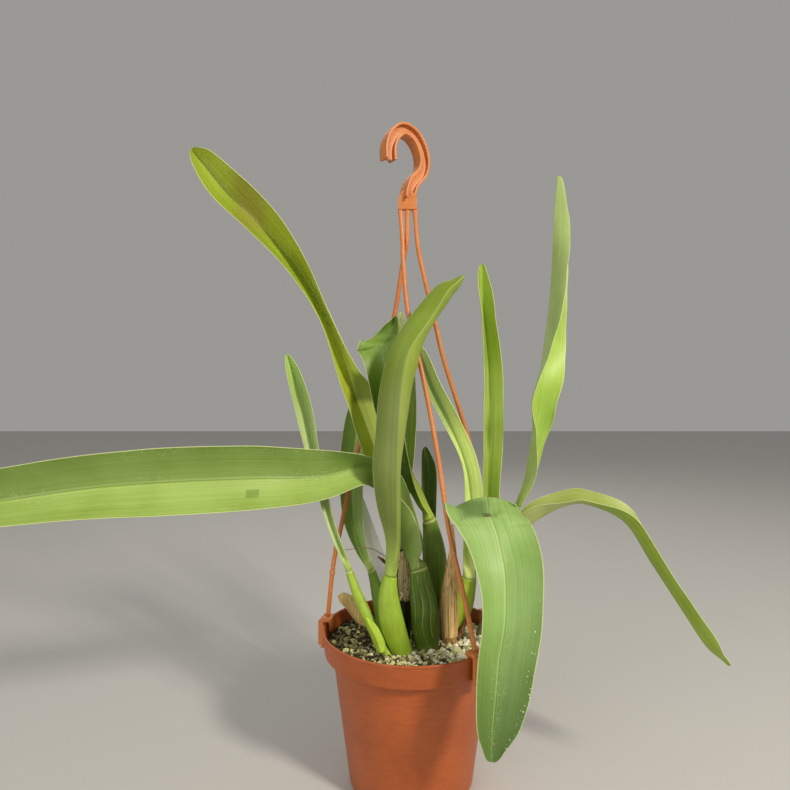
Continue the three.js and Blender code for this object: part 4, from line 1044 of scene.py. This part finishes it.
# Loose bits: a dead thread and a dark root end caught among the growths, an old brown root over
# the yellow bulb's foot, and the rotten brown collar that the dry bulb stands in.
BITS = {
    "dead_thread": {"points": [[-47, -16, 163], [-28, -17, 164.5], [-12, -24, 157]],
                    "radii": [0.22, 0.26, 0.22], "ribs": 3, "cut": 0.1,
                    "paint": ("8a6a4a", "6a4c34", "3c2a1c")},
    "root_end": {"points": [[-23, -20, 160], [-19.5, -21, 157.6], [-16.5, -22, 155]],
                 "radii": [0.5, 1.1, 0.9], "ribs": 4, "cut": 0.2,
                 "paint": ("6a4630", "4a3020", "20140c")},
    "old_root": {"points": [[40, -1.2, 112.5], [36.6, -2.4, 105.5], [33, -5.4, 99.5], [29, -12, 96]],
                 "radii": [0.9, 1.6, 1.9, 1.3], "ribs": 3, "cut": 0.18,
                 "paint": ("86603c", "5e3e26", "2c1a10")},
    "rotten_collar": {"points": [[27, -7, 95], [26.9, -7, 98], [26.8, -7, 101.4]],
                      "radii": [6, 6.9, 6.1], "ribs": 11, "cut": 0.3,
                      "paint": ("b08a58", "6a4a28", "2a1a0e")},
}
for bit_name, bit in BITS.items():
    bit_paint = straw_finish(f"{bit_name}_fibre", *bit["paint"])
    place_piece(fibre_rod(bit_name, bit, 44, 24, bit_paint), "sheath")


# Crust: pale crumbs at the torn foot of the brown sheath, stuck to its left corner where its
# fibres have rotted away. They are dry flakes, one to two millimetres across.
CRUST_AT = (-7.2, -15.6)
CRUST_HEIGHTS = (129, 134)
CRUMBS = 9
crust_paint = straw_finish("pale_crust", "f2efc8", "dcd9a0", "a8a060")
crust = []
random = np.random.default_rng(12)
crust_shape = skin(tube_rings([[0, 0, -1], [0, 0, 0], [0, 0, 1]], [0.3, 1, 0.3], 8, 4))
for height in np.linspace(*CRUST_HEIGHTS, CRUMBS):
    middle = np.array([CRUST_AT[0] + random.uniform(-0.9, 0.9), CRUST_AT[1] + random.uniform(-0.3, 0.3),
                       height])
    size = np.array([random.uniform(0.5, 0.9), random.uniform(0.4, 0.7), random.uniform(0.5, 0.8)])
    crust.append(((crust_shape[0] * size + middle) * MM, crust_shape[1]))
place_piece(joined("pale_crust", crust, crust_paint), "sheath")


# Water drops: small clear beads left by spraying. They cling to the upper face of the hanging
# leaf along its outer edge, and are half a millimetre to a millimetre across.
DROPS = 26
DROP_RINGS = (118, 178)
DROP_COLUMNS = (1, 5)
DROP_RADII = (0.22 * MM, 0.52 * MM)
DROP_PROFILE = [(0, -0.3), (0.95, -0.25), (1, 0.1), (0.75, 0.5), (0.4, 0.68), (0, 0.75)]
DROP_SIDES = 10
drop_paint, drop_shader, drop_start = new_finish("water_drops", Specular_IOR_Level=0.6)
drop_haze = drop_start.node("TexCoord", output="Object").noise(900, 2)
feed(drop_shader, Base_Color=drop_haze.rise(0.3, 0.7).blend(colour("a9c078"), colour("eef4dc")),
     Roughness=0.06 + drop_haze * 0.08)
wet_rings = leaf_rings(LEAVES[8], 8)[0]
bead, bead_faces = turned_body(DROP_PROFILE, DROP_SIDES)
drops = []
random = np.random.default_rng(64)
for _ in range(DROPS):
    ring = wet_rings[random.integers(*DROP_RINGS)]
    column = random.integers(*DROP_COLUMNS)
    size = random.uniform(*DROP_RADII)
    out = unit(ring[column] - ring[-1 - column])
    first = unit(np.cross(out, [0.3, 0.2, 1]))
    frame_axes = np.array([first, np.cross(out, first), out])
    drops.append((np.array(bead) @ frame_axes * size + ring[column], bead_faces))
place_piece(joined("water_drops", drops, drop_paint), "leaf")


# Sheaths: dry papery scales that wrap the foot of a growth. The brown one has split into flakes
# on the bulb painted near black for its deep shade, and the bright one still clasps the new growth.
SHEATHS = {
    "sheath_02": {"stations": [
        [-4.4, -14.6, 128, 4, 180, 30], [-4.6, -14.5, 140, 5, 180, 30], [-4.8, -14.3, 151, 4.6, 180, 30],
        [-5.5, -13.6, 159, 3, 180, 30]], "paint": ("e2cfa4", "a8804c", "6a4624"), "spots": 0.8},
    "sheath_06": {"stations": [
        [-20, -32.9, 101, 4, 180, 40], [-22.5, -32.2, 108, 4.6, 180, 40], [-26, -31, 115, 4, 180, 40],
        [-29.5, -29.4, 121, 1.6, 180, 40]], "paint": ("b2cb48", "a6c23e", "98b636"), "depth": 0.00004},
}
for number, (node_name, sheath) in enumerate(SHEATHS.items()):
    sheath_paint = straw_finish(f"{node_name}_paper", *sheath["paint"], sheath.get("depth", 0.0003),
                                sheath.get("spots", 0.0))
    piece = blade_piece(f"{node_name}_scale", sheath, sheath_paint, 70 + number)
    place_piece(piece, "sheath", node_name)


# Label: a strip of white plastic with a pointed foot, pushed into the mix behind the leaves. It
# leans to the left and a little back, and its upper corners are cut.
LABEL = {"length": 106, "point": 22, "width": 16, "thick": 0.8, "corner": 1.5, "blunt": 0.4, "lean": 21,
         "back": 7, "foot": [-5, 10, 92]}
label_paint, label_shader, label_start = new_finish("white_label_plastic", Specular_IOR_Level=0.5)
label_place = label_start.node("TexCoord", output="Object")
label_cloud = label_place.noise(70, 3)
label_dirt = label_place.noise(420, 4, 0.7).rise(0.66, 0.8)
label_colour = label_cloud.rise(0.3, 0.8).blend(colour("f4f3f0"), colour("ffffff"))
label_colour = (label_dirt * 0.25).blend(label_colour, colour("b8b09a"))
feed(label_shader, Base_Color=label_colour, Roughness=0.34 + label_cloud * 0.14,
     Normal=relief(label_start, label_place.noise(900, 2), 0.00003))
label_half = LABEL["width"] / 2
label_corner = LABEL["corner"]
outline = [(0, 0), (label_half, LABEL["point"]), (label_half, LABEL["length"] - label_corner),
           (label_half - label_corner, LABEL["length"]), (label_corner - label_half, LABEL["length"]),
           (-label_half, LABEL["length"] - label_corner), (-label_half, LABEL["point"]),
           (-LABEL["blunt"], 0)]
back, lean = math.radians(LABEL["back"]), math.radians(LABEL["lean"])
label_rings = []
for side in (-1, 1):
    ring = []
    for x, z in outline:
        y = side * LABEL["thick"] / 2
        y, z = y * math.cos(back) + z * math.sin(back), z * math.cos(back) - y * math.sin(back)
        x, z = x * math.cos(lean) - z * math.sin(lean), z * math.cos(lean) + x * math.sin(lean)
        ring.append((x + LABEL["foot"][0], y + LABEL["foot"][1], z + LABEL["foot"][2]))
    label_rings.append(ring)
label = joined("label_strip", [skin(np.array(label_rings) * MM)], label_paint, smooth=False)
place_piece(label, "label_plastic", "label_tag")


# Potting mix: moist pumice, perlite and bark chips over a darker bed. The grains lie scattered
# on the bed's top, paler towards the front right and darker towards the left.
MIX_LEVEL = 97.5
MIX_RADIUS = 58.4
MIX_EDGE = 91.8
MIX_SHOULDER = 91.2
MIX_FLOOR = 2.8
WALL_INSET = 1.9
FLOOR_INSET = 2.7
BED_RINGS = 26
BED_SIDES = 120
bed_points = [(0, 0, MIX_LEVEL)]
bed_faces = []
for ring in range(1, BED_RINGS + 1):
    radius = MIX_RADIUS * ring / BED_RINGS
    for k in range(BED_SIDES):
        angle = k * 2 * math.pi / BED_SIDES
        x, y = radius * math.cos(angle), radius * math.sin(angle)
        lift = 0.7 * math.sin(x / 5.1 + 1) * math.cos(y / 4.3) + 0.5 * math.sin((x + y) / 2.7)
        dip = 1.6 * max(0.0, (radius - 50) / 9)
        bed_points.append((x, y, MIX_LEVEL - 0.3 + lift - dip))
for k in range(BED_SIDES):
    n = (k + 1) % BED_SIDES
    bed_faces.append((0, 1 + k, 1 + n))
    for ring in range(BED_RINGS - 1):
        a, b = 1 + ring * BED_SIDES, 1 + (ring + 1) * BED_SIDES
        bed_faces.append((a + k, b + k, b + n, a + n))
bed_sides = [(MIX_RADIUS, MIX_EDGE), (BODY_TOP / MM - WALL_INSET, MIX_SHOULDER),
             (BASE / MM - FLOOR_INSET, MIX_FLOOR)]
previous = 1 + (BED_RINGS - 1) * BED_SIDES
for radius, height in bed_sides:
    start_index = len(bed_points)
    for k in range(BED_SIDES):
        angle = k * 2 * math.pi / BED_SIDES
        n = (k + 1) % BED_SIDES
        bed_points.append((radius * math.cos(angle), radius * math.sin(angle), height))
        bed_faces.append((previous + k, start_index + k, start_index + n, previous + n))
    previous = start_index
bed_points.append((0, 0, MIX_FLOOR))
floor_middle = len(bed_points) - 1
bed_faces += [(previous + (k + 1) % BED_SIDES, previous + k, floor_middle) for k in range(BED_SIDES)]

bed_paint, bed_shader, bed_start = new_finish("damp_mix_bed", Specular_IOR_Level=0.3)
bed_place = bed_start.node("TexCoord", output="Object")
bed_noise = bed_place.noise(420, 4, 0.65)
bed_colour = bed_noise.rise(0.35, 0.7).blend(colour("2b2718"), colour("6b6440"))
feed(bed_shader, Base_Color=bed_colour, Roughness=0.8 + bed_noise * 0.15,
     Normal=relief(bed_start, bed_noise, 0.0012))

grain_paint, grain_shader, grain_start = new_finish("pumice_grains", Specular_IOR_Level=0.25)
grain_place = grain_start.node("TexCoord", output="Object")
grain_tone = grain_start.node("Attribute", {"attribute_name": "grain_tone"}, output="Fac")
grain_pits = grain_place.noise(1500, 4, 0.7)
grain_colour = grain_tone.node("ValToRGB", {"stops": [
    (0.0, colour("2a2618")), (0.25, colour("5c5634")), (0.42, colour("8c875a")), (0.62, colour("d2cc92")),
    (0.85, colour("ece8c0")), (1.0, colour("faf8ea"))]}, {0: grain_tone})
grain_dark = grain_colour.node("HueSaturation", {}, {"Color": grain_colour, "Value": 0.66})
grain_colour = grain_pits.rise(0.3, 0.5).blend(grain_dark, grain_colour)
feed(grain_shader, Base_Color=grain_colour, Roughness=0.75 + grain_pits * 0.2,
     Normal=relief(grain_start, grain_pits, 0.0004))


UPRIGHT_ENOUGH = 0.6
GRAIN_SPREAD = (0.55, 1.35)
TONE_MIDDLE = 0.54
TONE_TO_RIGHT = 7.5
TONE_TO_FRONT = -0.6
TONE_CHANCE = 0.42


def scatter_tree(name, material):
    """Grains on a bed's upward faces. Its inputs are their number to a square metre, their radius,
    how thick they are for their width, how far from the pot's axis they lie, and a seed."""
    tree = bpy.data.node_groups.new(name, "GeometryNodeTree")
    face = tree.interface
    face.new_socket("Geometry", in_out="INPUT", socket_type="NodeSocketGeometry")
    for label_text, default in (("Density", 1.0), ("Size", 1.0), ("Flatness", 1.0), ("Reach", 1.0)):
        face.new_socket(label_text, in_out="INPUT", socket_type="NodeSocketFloat").default_value = default
    face.new_socket("Seed", in_out="INPUT", socket_type="NodeSocketInt").default_value = 1
    face.new_socket("Geometry", in_out="OUTPUT", socket_type="NodeSocketGeometry")

    def add(kind, settings=None, values=None):
        node = tree.nodes.new(kind)
        for key, value in (settings or {}).items():
            setattr(node, key, value)
        for key, value in (values or {}).items():
            if isinstance(value, bpy.types.NodeSocket):
                tree.links.new(value, node.inputs[key])
            else:
                node.inputs[key].default_value = value
        return node

    def calc(operation, *values, **settings):
        """The result of one Math node on the given sockets and numbers."""
        node = add("ShaderNodeMath", {"operation": operation, **settings}, dict(enumerate(values)))
        return node.outputs[0]

    entry = add("NodeGroupInput")
    normal = add("GeometryNodeInputNormal")
    upright = add("ShaderNodeSeparateXYZ", {}, {0: normal.outputs[0]})
    facing_up = add("FunctionNodeCompare", {"operation": "GREATER_THAN"},
                    {0: upright.outputs["Z"], 1: UPRIGHT_ENOUGH})
    here = add("GeometryNodeInputPosition")
    flat = add("ShaderNodeVectorMath", {"operation": "MULTIPLY"}, {0: here.outputs[0], 1: (1, 1, 0)})
    radius = add("ShaderNodeVectorMath", {"operation": "LENGTH"}, {0: flat.outputs[0]})
    reach = calc("ADD", radius.outputs["Value"], entry.outputs["Size"])
    within = add("FunctionNodeCompare", {"operation": "LESS_THAN"}, {0: reach, 1: entry.outputs["Reach"]})
    chosen = add("FunctionNodeBooleanMath", {"operation": "AND"},
                 {0: facing_up.outputs[0], 1: within.outputs[0]})
    points = add("GeometryNodeDistributePointsOnFaces", {"distribute_method": "RANDOM"},
                 {"Mesh": entry.outputs["Geometry"], "Selection": chosen.outputs[0],
                  "Density": entry.outputs["Density"], "Seed": entry.outputs["Seed"]})
    grain = add("GeometryNodeMeshIcoSphere", {}, {"Radius": 1.0, "Subdivisions": 2})
    pits = add("ShaderNodeTexNoise", {}, {"Scale": 1.1, "Detail": 1.0})
    centred = add("ShaderNodeVectorMath", {"operation": "SUBTRACT"},
                  {0: pits.outputs["Color"], 1: (0.5, 0.5, 0.5)})
    shove = add("ShaderNodeVectorMath", {"operation": "SCALE"}, {0: centred.outputs[0], "Scale": 1.5})
    rough = add("GeometryNodeSetPosition", {},
                {"Geometry": grain.outputs["Mesh"], "Offset": shove.outputs[0]})
    spin = add("FunctionNodeRandomValue", {"data_type": "FLOAT_VECTOR"},
               {0: (0, 0, 0), 1: (6.3, 6.3, 6.3), "Seed": entry.outputs["Seed"]})
    size = add("FunctionNodeRandomValue", {"data_type": "FLOAT"},
               {2: GRAIN_SPREAD[0], 3: GRAIN_SPREAD[1], "Seed": entry.outputs["Seed"]})
    scaled = calc("MULTIPLY", size.outputs[1], entry.outputs["Size"])
    thin = calc("MULTIPLY", scaled, entry.outputs["Flatness"])
    stretch = add("ShaderNodeCombineXYZ", {}, {0: scaled, 1: scaled, 2: thin})
    placed = add("GeometryNodeInstanceOnPoints", {},
                 {"Points": points.outputs["Points"], "Instance": rough.outputs[0],
                  "Rotation": spin.outputs[0], "Scale": stretch.outputs[0]})
    spot = add("GeometryNodeInputPosition")
    where = add("ShaderNodeSeparateXYZ", {}, {0: spot.outputs[0]})
    rightward = calc("MULTIPLY_ADD", where.outputs["X"], TONE_TO_RIGHT, TONE_MIDDLE)
    near = calc("MULTIPLY_ADD", where.outputs["Y"], TONE_TO_FRONT, rightward)
    chance = add("FunctionNodeRandomValue", {"data_type": "FLOAT"},
                 {2: -TONE_CHANCE, 3: TONE_CHANCE, "Seed": 9})
    tone = calc("ADD", near, chance.outputs[1], use_clamp=True)
    named = add("GeometryNodeStoreNamedAttribute", {"data_type": "FLOAT", "domain": "INSTANCE"},
                {"Geometry": placed.outputs[0], "Name": "grain_tone", "Value": tone})
    real = add("GeometryNodeRealizeInstances", {}, {0: named.outputs[0]})
    painted = add("GeometryNodeSetMaterial", {}, {"Geometry": real.outputs[0], "Material": material})
    leave = add("NodeGroupOutput")
    tree.links.new(painted.outputs[0], leave.inputs[0])
    return tree


def set_inputs(modifier, values):
    """Gives the tree's named inputs to the modifier by their sockets' identifiers."""
    for item in modifier.node_group.interface.items_tree:
        if item.in_out == "INPUT" and item.name in values:
            modifier[item.identifier] = values[item.name]


bed_metres = np.array(bed_points) * MM
bed_faces = facing_out(bed_metres, bed_faces)
bed = add_mesh("mix_bed", bed_metres, bed_faces, bed_paint)
place_piece(bed, "potting_mix", "potting_mix")
scatter = scatter_tree("scattered_grains", grain_paint)
GRAIN_LAYERS = {
    "pumice_stones": {"Density": 84000.0, "Size": 0.0017, "Flatness": 0.8, "Reach": 0.0575, "Seed": 3},
    "fine_grit": {"Density": 190000.0, "Size": 0.001, "Flatness": 0.9, "Reach": 0.0585, "Seed": 8},
    "bark_chips": {"Density": 9000.0, "Size": 0.0025, "Flatness": 0.35, "Reach": 0.0555, "Seed": 21},
}
for layer_name, layer in GRAIN_LAYERS.items():
    grains = add_mesh(layer_name, bed_metres, bed_faces, grain_paint)
    grow = grains.modifiers.new("scatter", "NODES")
    grow.node_group = scatter
    set_inputs(grow, layer)
    finished(grains)
    place_piece(grains, "potting_mix")
